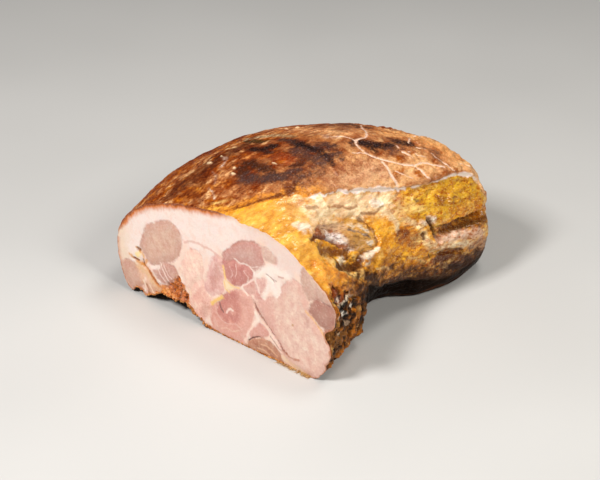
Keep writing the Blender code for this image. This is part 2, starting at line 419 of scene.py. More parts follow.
# Where it is burnt, in the same plan
RIND_BURNS = (
    ((20, 10, 8), 1.0, 6.5, ((-34, -39), (-26, -37), (-21, -28))),
    ((28, 14, 10), 0.9, 5, ((-22, -38), (-16, -41))),
    ((58, 40, 36), 0.85, 5, ((-22, -15), (-14, -14), (-6, -14))),
    ((20, 10, 9), 1.0, 7.5, ((-2, -15), (6, -18), (16, -18), (24, -20))),
    ((30, 18, 18), 1.0, 6.5, ((22, -18), (30, -22), (36, -23))),
    ((70, 48, 44), 0.8, 7, ((14, -8), (22, -4), (30, -10), (37, -12))),
    ((74, 50, 46), 0.85, 8.5, ((4, -28), (14, -30), (24, -32), (32, -30))),
    ((64, 30, 20), 0.85, 4.5, ((20, -38), (23, -46), (21, -53))),
    ((96, 66, 56), 0.55, 8, ((36, -34), (38, -50), (38, -64))),
    ((58, 26, 10), 0.95, 6, ((-19, -62), (-6, -65), (6, -67), (15, -70))),
    ((62, 30, 14), 0.95, 6, ((-13, -72), (-8, -80))),
    ((70, 50, 46), 0.9, 8, ((-2, -83), (8, -79), (17, -75), (25, -68), (30, -58))),
    ((104, 46, 20), 0.7, 6, ((36, -76), (41, -84), (36, -96), (26, -104))),
    ((110, 52, 20), 0.7, 2.5, ((24, -108), (18, -114), (15, -120))),
    ((96, 46, 22), 0.5, 5, ((-4, -44), (-6, -52), (-2, -60))),
    ((88, 44, 20), 0.5, 2, ((-54, -54), (-52, -64), (-47, -72), (-42, -80))),
    ((30, 18, 17), 1.0, 7, ((32, 20), (37, 25), (42, 24))),
    ((26, 16, 16), 1.0, 7, ((42, 32), (47, 39), (49, 45))),
    ((118, 74, 60), 0.6, 5, ((53, 38), (56, 45), (52, 50))),
    ((46, 26, 22), 1.0, 5.5, ((42, 56), (48, 58), (52, 65))),
    ((112, 56, 30), 0.7, 4, ((35, 52), (38, 57))),
    ((70, 44, 34), 0.8, 3.5, ((29, 14), (33, 10))),
    ((110, 78, 66), 0.6, 4.5, ((63, 74), (70, 77), (76, 74))),
    ((60, 34, 26), 0.8, 9, ((-20, 58), (-10, 64), (4, 62))),
    ((54, 30, 22), 0.8, 9, ((-76, 34), (-64, 46), (-50, 48))),
    ((66, 36, 26), 0.7, 10, ((-44, 92), (-24, 100), (-6, 98))),
    ((70, 38, 26), 0.7, 10, ((-108, -50), (-106, -24), (-100, 4))),
)
BURN_CORE = 1.1  # how far a burn and the browning round it reach, in widths of the stroke
BURN_HALO = 2.3
HALO_SMOKE = 1.35
# The net of splits: width and points (x, y, z)
CRACKS = (
    (1.6, ((8, 55, 121), (22, 43, 127), (29, 33, 129), (29, 20, 130), (38, 13, 129), (46, 12, 127))),
    (1.3, ((46, 12, 127), (57, 20, 122), (66, 32, 116), (72, 44, 112), (73, 54, 110), (78, 62, 107),
        (83, 71, 102))),
    (1.2, ((30, 19, 130), (22, 20, 130), (14, 16, 130), (7, 6, 131))),
    (0.7, ((40, 2, 129), (43, 8, 128), (46, 12, 127))),
    (1.5, ((58, 18, 120), (64, 18, 116), (70, 16, 111), (77, 16, 106))),
    (1.1, ((72, 44, 112), (77, 46, 108), (82, 47, 104), (88, 50, 97))),
    (1.0, ((50, 49, 122), (56, 47, 120), (61, 48, 118), (67, 49, 115))),
    (0.9, ((50, 66, 118), (58, 66, 116), (66, 71, 112), (76, 74, 107), (84, 76, 102), (90, 78, 96))),
    (0.8, ((60, 52, 118), (66, 56, 114), (70, 61, 111))),
    (0.7, ((69, 24, 114), (75, 29, 110), (79, 33, 106))),
    (0.7, ((86, 91, 99), (90, 97, 95), (94, 102, 89))),
    (1.1, ((8, 55, 121), (-8, 74, 112), (-14, 92, 98), (-34, 108, 80))),
    (0.9, ((50, 66, 118), (40, 84, 113), (46, 104, 98), (30, 116, 80))),
    (0.9, ((-34, 108, 80), (-60, 98, 70), (-84, 70, 74))),
)
CRACK_DEPTH = 1.0
# Little pale scraps stuck to the rind: radii and centre (x, y)
FLECKS = (
    ((2.8, 1.4), (-54, -70)),
    ((1.6, 1.6), (-21, -75)),
    ((2.4, 1.5), (-17, -82)),
    ((2.6, 1.2), (6, -57)),
    ((1.3, 1.0), (-50, -59)),
    ((0.8, 0.8), (44, -78)),
    ((2.4, 2.0), (-44, 15)),
    ((2.0, 1.6), (-37, 22)),
)
FLECK_HEIGHT = 1.3
# How broad the pale torn edge is: places y along it, and its width there
EDGE_WIDTHS = (
    (-70, 0.0), (-64, 2.0), (-52, 1.6), (-44, 0.3), (-36, 2.0), (0, 2.8), (22, 2.3), (38, 0.6), (66, 0.7),
    (78, 1.7), (104, 2.2),
)


def linear(colour):
    """A colour as a shader takes it; one that is an array of numbers already is."""
    if isinstance(colour, np.ndarray):
        return colour
    shares = np.array(colour) / 255
    return np.where(shares <= 0.04045, shares / 12.92, ((shares + 0.055) / 1.055) ** 2.4)


def tinted(base, colour, share):
    """The base colour or colours changed towards another by a share at each place."""
    base, colour = linear(base), linear(colour)
    return base + (colour - base) * np.clip(share, 0, 1)[:, None]


def stained(colours, density, absorbed=SMOKE):
    """Colours under a layer, as dense as given at each place, that takes out some of each light."""
    return colours * np.exp(-density[:, None] * absorbed)


def on_stroke(plane, points, width, raggedness=0.0):
    """1 on a brush stroke through points of a plane, fading to 0 about a width away from its middle."""
    near = near_line(plane, curve_through(points), width * 2.5)
    return rise(1 - near.gap / width + raggedness, -0.4, 0.7)


def stroked(base, plane, strokes, raggedness=0.0):
    """Colours after brush strokes: each has a colour, a strength, a width and the points it runs through."""
    for colour, strength, width, points in strokes:
        base = tinted(base, colour, strength * on_stroke(plane, points, width, raggedness))
    return base


def creases(places, size, seed, layers=2):
    """Sharp valleys between rounded ridges: 0 in the valleys, rising to 1."""
    size = np.asarray(size, float)
    parts = [np.abs(noise(places, size / 2**k, seed + k)) * 0.5**k for k in range(layers)]
    return np.clip(sum(parts) * 1.6, 0, 1)


def drifts(places, size, seed):
    """Noise in both directions of a plane: added to it, no outline drawn there stays smooth."""
    return np.column_stack([noise(places, size, seed), noise(places, size, seed + 1)])


class Value:
    """A socket in a material's tree.  Arithmetic on it adds Math nodes."""

    def __init__(self, finish, socket):
        self.finish = finish
        self.socket = socket

    def worked(self, operation, first, second):
        return self.finish.node("ShaderNodeMath", {"operation": operation}, {0: first, 1: second})

    def __add__(self, other):
        return self.worked("ADD", self, other)

    def __radd__(self, other):
        return self.worked("ADD", other, self)

    def __sub__(self, other):
        return self.worked("SUBTRACT", self, other)

    def __rsub__(self, other):
        return self.worked("SUBTRACT", other, self)

    def __mul__(self, other):
        return self.worked("MULTIPLY", self, other)

    def __rmul__(self, other):
        return self.worked("MULTIPLY", other, self)


class Finish:
    """A material, and the one way in which its nodes are made."""

    def __init__(self, name):
        self.material = bpy.data.materials.new(name)
        self.material.use_nodes = True
        self.tree = self.material.node_tree
        self.tree.nodes.clear()
        self.place = self.node("ShaderNodeTexCoord", output="Object")

    def node(self, kind, settings=None, inputs=None, output=0):
        """A new node: its settings first, then a value or a link for each socket that is named."""
        made = self.tree.nodes.new(kind)
        for name, value in (settings or {}).items():
            setattr(made, name, value)
        for name, value in (inputs or {}).items():
            if isinstance(value, Value):
                self.tree.links.new(value.socket, made.inputs[name])
            else:
                made.inputs[name].default_value = value
        return None if output is None else Value(self, made.outputs[output])

    def mark(self, name, output="Fac"):
        """A number stored on the mesh's points, or a colour if its output is Color."""
        return self.node("ShaderNodeAttribute", {"attribute_name": name}, output=output)

    def grain(self, size, detail=2.0, roughness=0.55, stretch=(1, 1, 1), dip=0.0):
        """Noise from 0 to 1 in grains of that size in millimetres, longer along each axis by its stretch.

        The axes dip towards the floor by an angle as they run away from the cut.
        """
        inputs = {"Vector": self.place, "Rotation": (-dip, 0.0, 0.0), "Scale": stretch}
        place = self.node("ShaderNodeMapping", {"vector_type": "TEXTURE"}, inputs)
        inputs = {"Vector": place, "Scale": 1.0 / (size * MM), "Detail": detail, "Roughness": roughness}
        return self.node("ShaderNodeTexNoise", {}, inputs)

    def between(self, value, low, high):
        """0 where value is at low, 1 where it is at high, eased."""
        inputs = {"Value": value, "From Min": low, "From Max": high, "To Min": 0.0, "To Max": 1.0}
        return self.node("ShaderNodeMapRange", {"interpolation_type": "SMOOTHSTEP"}, inputs)

    def mix(self, share, first, second, blend="MIX"):
        """The first colour changed towards the second by a share."""
        first, second = (c if isinstance(c, Value) else (*linear(c), 1.0) for c in (first, second))
        settings = {"data_type": "RGBA", "blend_type": blend, "clamp_factor": True}
        return self.node("ShaderNodeMix", settings, {0: share, 6: first, 7: second}, output=2)

    def surface(self, colour, roughness, height, depth, constants):
        """The Principled shader, with relief of a depth in millimetres under it, and its constants."""
        bump = self.node("ShaderNodeBump", {}, {"Height": height, "Distance": depth * MM, "Strength": 1.0})
        inputs = {"Base Color": colour, "Roughness": roughness, "Normal": bump, **constants}
        shader = self.node("ShaderNodeBsdfPrincipled", {}, inputs)
        self.node("ShaderNodeOutputMaterial", {}, {"Surface": shader}, output=None)
        return self.material


def new_piece(name, points, triangles, marks, material, normals=None):
    """A piece of the ham from points in millimetres, with marks: a number or a colour for each point."""
    data = new_mesh(name, points, triangles)
    for mark, values in marks.items():
        if values.ndim == 1:
            stored = data.attributes.new(mark, "FLOAT", "POINT").data
            stored.foreach_set("value", values.astype(np.float32))
        else:
            stored = data.attributes.new(mark, "FLOAT_COLOR", "POINT").data
            stored.foreach_set("color", np.insert(values, 3, 1, axis=1).astype(np.float32).ravel())
    data.shade_smooth()
    if normals is not None:
        data.normals_split_custom_set_from_vertices(normals)
    data.materials.append(material)
    piece = bpy.data.objects.new(name, data)
    bpy.context.scene.collection.objects.link(piece)
    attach(piece, "root")
    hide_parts("ham")


def skin_piece(name, mine, marks, material):
    """The piece made of the skin's triangles that are mine; from now on its points stay where they are."""
    used, corners = np.unique(skin.triangles[mine], return_inverse=True)
    marks = {mark: values[used] for mark, values in marks.items()}
    triangles = corners.reshape(-1, 3)
    new_piece(name, skin.points[used], triangles, marks, material, skin.normals()[used])
    skin.settled[used] = True


# The smoked colours: light and deep brown, stains, dark veins, then smoke in streaks and round the burns.
# Over the left of the dome all of it is deeper and darker, partly the rind's own colour and partly painted
# shade.
rind_here = rise(trim, 0, 3) * rise(above, 0, 4)
ragged = layered(form, 7, 20, layers=4, keep=0.75)
drift = 1.4 * drifts(form, 7, 18) + 0.7 * drifts(form, 2.5, 13)
plan = form[:, :2] + drift
# leftward: 1 over the left of the dome, where the rind is made deeper and darker, partly its own deep rust
# and partly painted shade
leftward = fall(form_x + 0.25 * form_y, -50, 50)
far_side = rise(form_y - 0.8 * form_x, 45, 110)
flank = rise(0.3 * form_y - form_x, 60, 100)
mottle = layered(form, (10, 16, 10), 15, layers=4, keep=0.65)
tint = tinted(RIND_LIGHT, RIND_DEEP, rise(mottle + leftward * 0.7, -0.1, 1.0))
tint = stroked(tint, plan, RIND_STAINS, 0.35 * ragged)
veins = fall(creases(form, (6, 14, 6), 16), 0.03, 0.2)
tint = tinted(tint, (96, 42, 16), veins * rise(leftward + 0.4 * ragged, 0.2, 0.9) * 0.6)
streaks = layered(form, (6, 15, 6), 17, layers=5, keep=0.75) * (1 - 0.65 * np.maximum(flank, far_side))
# The smoke is thicker over the left of the dome, partly as painted shade
tint = stained(tint, 0.45 * leftward + 0.35 * far_side + streaks * (0.3 + 0.85 * leftward))
burnt = (84, 38, 16)
burn = np.zeros(len(form))
halo = np.zeros(len(form))
for colour, strength, width, points in RIND_BURNS:
    share = strength * on_stroke(plan, points, width * BURN_CORE, 0.12 * ragged)
    burnt = tinted(burnt, colour, share)
    burn = np.maximum(burn, share)
    halo = np.maximum(halo, strength * on_stroke(plan, points, width * BURN_HALO, 0.6 * ragged))
tint = stained(tint, HALO_SMOKE * halo * (1 - 0.5 * streaks))
yellowed = fall(trim + 5 * ragged, 2, 13) * fall(form_y, -66, -40)
tint = tinted(tint, (232, 148, 42), yellowed * 0.9)
burn *= 1 - yellowed
tint = stroked(tint, plan, RIND_SEAM, 0.6 * ragged)

# Splits, scraps, and the relief of the whole rind
crack = np.zeros(len(form))
for number, (width, places) in enumerate(CRACKS):
    near = near_line(form, on_skin(places), reach=8)
    uneven = 0.72 * width * (1.0 + 0.4 * noise(form, 7, 30 + number) + 0.3 * noise(form, 2.5, 50 + number))
    crack = np.maximum(crack, np.exp(-((near.gap / uneven) ** 2)))
crack *= rise(noise(form, 6, 28) + 0.8, 0.0, 0.35)
fleck = np.zeros(len(form))
for radii, centre in FLECKS:
    away = np.linalg.norm((form[:, :2] + drift * 0.4 - centre) / radii, axis=1)
    fleck = np.maximum(fleck, fall(away, 0.6, 1.2) * (form_z > 60))

pimples = noise(form, 2.7, 21) * 0.2 + noise(form, (6, 5, 5), 22) * 0.25
wrinkles = (creases(form, (16, 10, 12), 23) - 0.5) * 0.6
charring = 0.5 * burn * creases(form, 5, 24)
crown_crust = rise(form_y + 0.4 * form_x, 50, 85) * layered(form, 5.5, 25, layers=2) * 1.1
relief = pimples + wrinkles - charring + crown_crust + fleck * FLECK_HEIGHT - 0.35 * veins
lips = np.exp(-(((trim - 1.4) / 1.2) ** 2)) * noise(form, 4, 26) * 0.6
split = CRACK_DEPTH * (0.35 * rise(crack, 0.02, 0.2) - rise(crack, 0.25, 0.8))
skin.push(rind_here * (relief + split) + lips * (trim > 0))

# The pale torn edge, broad where the knife left fat on it
edge_width = np.interp(form_y, *np.transpose(EDGE_WIDTHS))
edge_width *= 0.75 + 0.8 * noise(form, 9, 27) + 0.5 * noise(form, 3, 29)
edge = fall(np.abs(trim + 0.25 * edge_width), edge_width * 0.6, edge_width * 1.1 + 0.3)
edge *= rise(edge_width, 0.1, 0.6) * (form_z > 40)
edge *= 1 - 0.9 * rise(form_y, 84, 92) * rise(-form_z, -88, -80)
tint = tinted(tint, (244, 214, 190), rise(crack, 0.2, 0.75) * rind_here * 0.95)
tint = tinted(tint, (244, 212, 168), fleck)
tint = tinted(tint, PALE_EDGE, edge)
tint = tinted(tint, (150, 76, 26), np.exp(-(((trim - 2.6) / 1.3) ** 2)) * 0.5 * (edge_width < 1.2))

rind = Finish("smoked_rind")
broad = rind.grain(6, 6, 0.7, (1, 2.2, 1))
fine = rind.grain(1.9, 3, 0.65, (1, 1.4, 1))
finest = rind.grain(1.2, 3, 0.65)
darker = rind.between(broad, 0.48, 0.7) * 0.7 + rind.between(fine, 0.54, 0.34) * 0.7
# Painted glints: pale specks screened over the coat, fewer over the left of the dome
painted_glints = rind.between(finest, 0.5, 0.68) * rind.mark("pale") * 0.6
coat = rind.mix(darker * rind.mark("coarse"), rind.mark("tint", "Color"), (156, 104, 62), "MULTIPLY")
coat = rind.mix(painted_glints, coat, (182, 140, 104), "SCREEN")
# The burns: grey-lilac specks, partly ash and partly painted glints on the char, then brown and black
ash_and_glints = rind.mix(rind.between(finest, 0.56, 0.7) * 0.6, rind.mark("burnt", "Color"), (164, 136, 130))
ash_and_glints = rind.mix(rind.between(fine, 0.52, 0.68) * 0.4, ash_and_glints, (120, 56, 24))
ash_and_glints = rind.mix(rind.between(broad, 0.52, 0.34) * 0.7, ash_and_glints, (20, 10, 8))
char = rind.between(rind.mark("burn") + (fine - 0.5) * 1.8 + (broad - 0.5) * 2.0, 0.1, 1.1)
coat = rind.mix(char, coat, ash_and_glints)
rough = 0.3 + 0.35 * rind.grain(4, 3)
height = 0.35 * broad + 0.4 * fine + 0.25 * finest
RIND_BUMP = 3.0
RIND_CONSTANTS = {
    "Specular IOR Level": 0.06,
    "Subsurface Weight": 0.05,
    "Subsurface Radius": (1.0, 0.35, 0.15),
    "Subsurface Scale": 1.5 * MM,
    "Coat Weight": rind.mark("gloss") * 0.22,
    "Coat Roughness": 0.2,
}
smoked_rind = rind.surface(coat, rough, height, RIND_BUMP, RIND_CONSTANTS)
bare_rind = 1 - np.clip(crack + edge + fleck, 0, 1)
rind_marks = {
    "tint": tint,
    "burnt": burnt,
    "burn": burn * (1 - np.clip(1.5 * crack + edge + fleck, 0, 1)),
    "coarse": (0.5 + 0.5 * leftward) * bare_rind,
    "gloss": 1 - 0.75 * leftward,
    # pale: where the painted glints show
    "pale": (1 - 0.85 * leftward) * bare_rind,
}
skin_piece("rind", is_rind, rind_marks, smoked_rind)


# The trimmed side: fat and lean laid bare by the knife beside the trim line, then smoked to yellow and
# brown.  It carries the knuckle muscle in its socket, torn flaps, the strip along the cut and the slot of
# the boning knife.

SIDE_GOLD = (236, 164, 48)
KNUCKLE_DIP = 0.42  # how far the knuckle's fibres dip as they run away from the cut
# Brush strokes on the side seen square on: colour, strength, width and points (y, z)
SIDE_STAINS = (
    ((252, 226, 184), 0.85, 11, ((-88, 115), (-62, 112), (-36, 106), (-15, 101), (8, 96))),
    ((236, 174, 74), 0.8, 9, ((-118, 114), (-104, 117), (-90, 119))),
    ((236, 178, 76), 0.8, 10, ((-118, 106), (-112, 96), (-102, 101))),
    ((224, 172, 46), 0.9, 17, ((24, 86), (50, 84), (80, 86), (98, 76))),
    ((238, 168, 44), 0.8, 11, ((-20, 82), (-8, 72), (-4, 58), (12, 50))),
    ((214, 146, 40), 0.8, 8, ((-52, 64), (-36, 63), (-22, 60))),
    ((206, 134, 32), 0.8, 9, ((-30, 54), (-12, 48), (4, 40), (18, 36))),
    ((242, 164, 64), 0.95, 7.5, ((-114, 92), (-106, 88), (-96, 82), (-86, 74), (-76, 65), (-67, 55),
        (-62, 46))),
    ((226, 138, 62), 0.8, 3, ((-114, 84), (-108, 80), (-100, 75), (-92, 69), (-82, 62), (-72, 53))),
    ((250, 214, 140), 0.8, 3.4, ((-96, 93), (-88, 84), (-80, 76), (-70, 69), (-60, 66))),
    ((254, 234, 190), 0.8, 3.0, ((-8, 92), (-3, 87), (0, 81), (-3, 77))),
    ((254, 230, 180), 0.75, 3.6, ((9, 81), (15, 77), (20, 71), (22, 63), (25, 57), (31, 53))),
    ((255, 242, 222), 0.95, 2.6, ((-13, 102), (-8, 99), (-4, 97))),
    ((255, 240, 216), 0.9, 2.6, ((-101, 113), (-95, 112), (-91, 111))),
    ((238, 200, 130), 0.6, 4, ((4, 84), (16, 87), (30, 86))),
    ((176, 108, 52), 0.9, 6.5, ((-1, 69), (4, 68), (9, 66))),
    ((200, 126, 52), 0.7, 1.2, ((-100, 88), (-92, 80), (-84, 73), (-76, 64), (-70, 54))),
    ((150, 82, 22), 0.7, 0.9, ((-58, 112), (-50, 110), (-40, 105), (-30, 104))),
    ((140, 74, 20), 0.7, 1.0, ((-46, 52), (-34, 50), (-20, 45), (-8, 38))),
    ((140, 74, 20), 0.7, 0.9, ((-18, 62), (-6, 56), (6, 50), (16, 44))),
    ((252, 216, 150), 0.8, 1.4, ((-40, 60), (-30, 57), (-22, 52))),
    ((248, 206, 130), 0.7, 1.6, ((2, 52), (12, 47), (22, 40))),
    ((132, 66, 24), 0.8, 2, ((-4, 73), (2, 74), (8, 71))),
    ((196, 154, 92), 0.8, 5, ((12, 63), (18, 66))),
    ((112, 60, 24), 0.8, 1.8, ((20.5, 67), (21.5, 62))),
    ((248, 232, 206), 0.9, 2.2, ((24, 75), (28, 74))),
    ((248, 232, 206), 0.95, 2.6, ((33, 75), (36, 73))),
    ((92, 48, 18), 0.95, 2.4, ((31, 73), (33, 67), (34, 60), (36, 56))),
    ((120, 74, 34), 0.9, 4.5, ((42, 60), (60, 58), (78, 55), (96, 51), (108, 47))),
    ((104, 54, 18), 0.95, 8.5, ((33, 40), (46, 37), (58, 32), (68, 25), (80, 18))),
    ((70, 34, 12), 0.8, 6, ((40, 30), (56, 24), (70, 18))),
    ((206, 146, 66), 0.7, 3, ((66, 72), (80, 71), (94, 70))),
    ((242, 206, 178), 1.0, 4.4, ((37, 55), (50, 54), (64, 52), (78, 47), (88, 41))),
    ((252, 228, 184), 0.95, 4.0, ((31, 51), (45, 48), (58, 45), (69, 41), (78, 35))),
    ((222, 176, 132), 0.9, 8, ((82, 36), (91, 30), (99, 22))),
    ((150, 92, 48), 0.8, 6, ((86, 24), (98, 16), (106, 12))),
    ((108, 72, 40), 0.8, 1.3, ((26.5, 91.5), (28, 91))),
    ((158, 96, 30), 0.6, 2.6, ((49, 88), (51, 84), (53, 83))),
    ((140, 84, 28), 0.8, 1.0, ((62, 80), (65, 82), (68, 80.5))),
    ((150, 90, 34), 0.7, 1.0, ((-29, 98), (-20, 95), (-12, 94.5), (-4, 95.5))),
    ((146, 88, 36), 0.6, 1.2, ((-78, 119), (-73, 117), (-68, 116))),
)
# The knuckle muscle, its strokes, and those of the hollow around it, in the same view; some of them are
# painted glints
KNUCKLE = (
    (-97, 106), (-86, 108), (-75, 106), (-65, 102), (-55, 99), (-45, 98), (-35, 95), (-28, 88), (-26, 81),
    (-29, 76), (-38, 74), (-48, 76), (-56, 80), (-63, 83), (-70, 90), (-78, 97), (-87, 103),
)
KNUCKLE_STAINS_AND_GLINTS = (
    ((136, 72, 44), 0.8, 4, ((-92, 106), (-80, 101), (-68, 95), (-58, 88))),
    ((228, 190, 150), 0.7, 4, ((-76, 105), (-62, 100), (-50, 96))),
    # Painted glints of the wet muscle
    ((246, 232, 222), 0.9, 3, ((-74, 97), (-67, 94), (-61, 90))),
    ((240, 222, 206), 0.8, 2, ((-60, 83), (-55, 80))),
    ((206, 152, 84), 0.8, 5, ((-56, 90), (-46, 84), (-38, 80))),
    ((124, 112, 104), 0.8, 1.2, ((-50, 93), (-44, 90), (-38, 86), (-32, 81))),
    # Painted glints again
    ((238, 222, 196), 0.8, 1.6, ((-44, 94), (-37, 91), (-31, 86))),
    ((244, 230, 206), 0.8, 1.8, ((-36, 78), (-32, 77))),
)
HOLLOW_STROKES_AND_GLINT = (
    ((104, 52, 18), 0.8, 1.2, ((-99, 106), (-90, 105), (-85, 102), (-80, 99), (-74, 94), (-68, 88))),
    ((120, 62, 14), 0.9, 3.8, ((-96, 100), (-90, 96), (-84, 92), (-77, 88), (-70, 85), (-63, 81))),
    ((78, 36, 8), 0.95, 3.4, ((-88, 86), (-80, 80), (-72, 76), (-64, 73), (-56, 71))),
    # A painted glint on the ridge between the two dark bands
    ((250, 232, 200), 0.95, 1.7, ((-79, 83.5), (-74, 82), (-69, 80.5))),
    ((112, 62, 26), 0.8, 1.4, ((-48, 76), (-40, 73.5), (-31, 75), (-26, 80), (-27, 88), (-34, 95))),
    ((250, 236, 210), 0.9, 1.6, ((-50, 72.5), (-42, 71.5), (-30, 72))),
    ((246, 228, 196), 0.8, 1.8, ((-52, 68.5), (-46, 67.5))),
    ((110, 66, 30), 0.7, 2.6, ((-58, 66), (-55, 60), (-48, 56))),
)
# The upper edge of the torn dark lobe beside the cut, and its strokes: brown and golden stains, pale painted
# glints of the wet meat, and near-black painted shade in its crevices
LOBE_EDGE = ((-125, 76), (-112, 82), (-100, 74), (-90, 66), (-75, 54), (-62, 42))
LOBE_STAINS_GLINTS_AND_SHADE = (
    ((150, 70, 32), 0.8, 4, ((-114, 78), (-108, 72), (-100, 68))),
    ((144, 92, 40), 0.8, 8, ((-122, 44), (-112, 36), (-104, 30))),
    # From here the pale strokes are painted glints and the near-black ones painted shade
    ((232, 206, 184), 0.9, 2.2, ((-111, 74), (-108, 71))),
    ((214, 184, 158), 0.8, 1.8, ((-113, 68), (-106, 66))),
    ((255, 244, 226), 1.0, 2.0, ((-109, 60), (-104, 57), (-100, 54))),
    ((14, 6, 2), 0.95, 3.0, ((-116, 66), (-108, 64), (-98, 62))),
    ((14, 6, 2), 0.95, 2.6, ((-112, 50), (-104, 48), (-94, 52))),
    ((176, 112, 40), 0.8, 2.4, ((-78, 62), (-72, 54), (-74, 44), (-82, 38))),
    ((222, 188, 160), 0.8, 1.8, ((-91, 65), (-85, 63), (-80, 61))),
    ((206, 170, 136), 0.8, 2, ((-100, 45), (-94, 42))),
    ((250, 236, 216), 0.9, 1.2, ((-118, 62), (-115, 60))),
    ((250, 230, 200), 0.9, 1.2, ((-104, 66), (-98, 67), (-94, 66))),
    ((240, 214, 180), 0.8, 1.2, ((-110, 40), (-106, 38))),
    ((250, 236, 216), 0.9, 1.4, ((-92, 58), (-88, 55))),
    ((228, 176, 96), 0.8, 1.4, ((-122, 34), (-118, 30), (-116, 24))),
    ((190, 150, 110), 0.7, 1.8, ((-120, 29), (-115, 25))),
    ((196, 140, 60), 0.7, 2.4, ((-119, 56), (-116, 54))),
    ((186, 132, 66), 0.7, 2.4, ((-80, 46), (-74, 43))),
)
# Relief on the side: height, width and points (y, z)
SIDE_RELIEF = (
    (-1.9, 4.2, ((-95, 99), (-88, 95), (-82, 91), (-76, 88), (-70, 85), (-63, 81))),
    (-2.3, 4.2, ((-87, 85), (-80, 80), (-72, 76), (-64, 73), (-57, 71))),
    (-1.6, 1.6, ((-99, 106), (-90, 105), (-85, 102), (-80, 99), (-74, 94), (-68, 88))),
    (-1.5, 1.6, ((-48, 75), (-40, 73), (-30, 74), (-25, 80), (-26, 88), (-34, 96), (-46, 99))),
    (1.0, 2.0, ((-53, 71), (-42, 70), (-28, 71))),
    (-0.9, 1.1, ((-50, 93), (-44, 90), (-38, 86), (-32, 81))),
    (-0.8, 1.2, ((-30, 97), (-20, 94.5), (-12, 94), (-4, 95))),
    (1.0, 2.4, ((-14, 102), (-8, 99), (-4, 97))),
    (0.6, 3.0, ((-78, 120), (-66, 119), (-54, 118))),
    (-0.7, 1.2, ((-78, 117.5), (-70, 115.5), (-60, 116.5))),
    (0.7, 3.0, ((-8, 92), (-3, 87), (0, 81), (-3, 77))),
    (1.0, 4.0, ((9, 81), (15, 77), (20, 71), (22, 63), (25, 57), (31, 53))),
    (-0.9, 5.0, ((-1, 69), (9, 66))),
    (-3.0, 1.7, ((20.5, 67), (21.5, 62))),
    (1.2, 2.2, ((24, 75), (28, 75))),
    (1.6, 2.4, ((33, 77), (37, 75))),
    (-4.5, 2.4, ((31, 74), (33, 67), (34, 60), (36, 56))),
    (-4.5, 4.2, ((40, 63), (55, 61), (70, 59), (84, 57), (100, 54))),
    (1.6, 6.0, ((34, 53), (50, 51), (64, 48), (78, 43), (90, 36))),
    (-2.6, 2.4, ((27, 48), (36, 45), (46, 42), (56, 39), (64, 34))),
    (1.8, 5.0, ((-110, 92), (-98, 84), (-86, 74), (-76, 65), (-67, 55))),
    (-1.4, 1.3, ((49, 88), (51, 84))),
    (1.6, 2.6, ((61, 81), (65, 84), (69, 81))),
)


def inside(places, outline):
    """Signed distance of places in a plane from a closed outline, positive inside it."""
    gap = np.full(len(places), FAR)
    crossings = np.zeros(len(places), int)
    across, upward = places.T
    for (ax, az), (bx, bz) in zip(outline, np.roll(outline, -1, axis=0)):
        run = np.array([bx - ax, bz - az])
        t = np.clip(((across - ax) * run[0] + (upward - az) * run[1]) / max(run @ run, TINY), 0, 1)
        gap = np.minimum(gap, np.hypot(across - ax - t * run[0], upward - az - t * run[1]))
        if bz != az:
            spans = (az > upward) != (bz > upward)
            crossings += spans & (across < ax + (upward - az) / (bz - az) * (bx - ax))
    return np.where(crossings % 2 == 1, gap, -gap)


# Where each part of the side is
side_here = rise(-trim, 0, 2.5)
facing = rise(skin.outward[:, 0], -0.05, 0.15) * (form_x > 20)
profile = np.where(facing[:, None] > 0, form[:, 1:] + 1.1 * drifts(form, 6, 38), FAR)
ragged = layered(form, (5, 9, 5), 37, layers=4, keep=0.8)
knuckle_depth = inside(profile, curve_through(KNUCKLE, 4, closed=True))
knuckle = rise(knuckle_depth, -0.6, 0.8)
lobe_edge = np.interp(form_y, *np.transpose(LOBE_EDGE))
lobe = rise(lobe_edge + ragged * 4 - form_z, -3, 3) * facing
lobe *= fall(form_y + ragged * 2, -64, -58)
# gloom: where painted shade goes on the side, under the lip of the undercut and low by the floor
gloom = np.clip(rise(below_lip, -1, 6) + rise(12 - form_z, -4, 4), 0, 1)
butt_end = rise(form_y - 0.7 * form_z, -100, -30)

# Its relief: lumps and tears, folds on the lobe, fibres on the knuckle, and what the strokes raise or cut
lumps = layered(form, (8, 14, 8), 44, layers=4, keep=0.5)
tears = creases(form, (9, 18, 8), 45) - 0.5
folds = layered(form, (9, 8, 13), 47, layers=3, keep=0.6)
torn_flesh = 2.6 * folds - 1.8 * (1 - creases(form, (8, 7, 12), 48))
relief = (0.8 * lumps + 0.7 * tears) * (1 - knuckle) + lobe * torn_flesh * rise(form_y - CUT_Y, 0, 6)
dip_cos, dip_sin = math.cos(KNUCKLE_DIP), math.sin(KNUCKLE_DIP)
dipped = np.column_stack([form_x, profile @ (dip_cos, -dip_sin), profile @ (dip_sin, dip_cos)])
fibres = creases(dipped, (3, 14, 4), 46) - 0.5
relief += 2.4 * rise(knuckle_depth, -1, 9) + knuckle * (0.6 * fibres - 1.4)
relief += (0.16 + 0.3 * butt_end) * layered(form, (3, 7, 3), 53, layers=3, keep=0.7)
for raised, width, points in SIDE_RELIEF:
    relief += raised * on_stroke(profile, points, width, 0.35 * ragged)
relief += undercut * noise(form, (5, 3, 14), 43) * 0.8
skin.push(side_here * relief * rise(above, -1, 5))

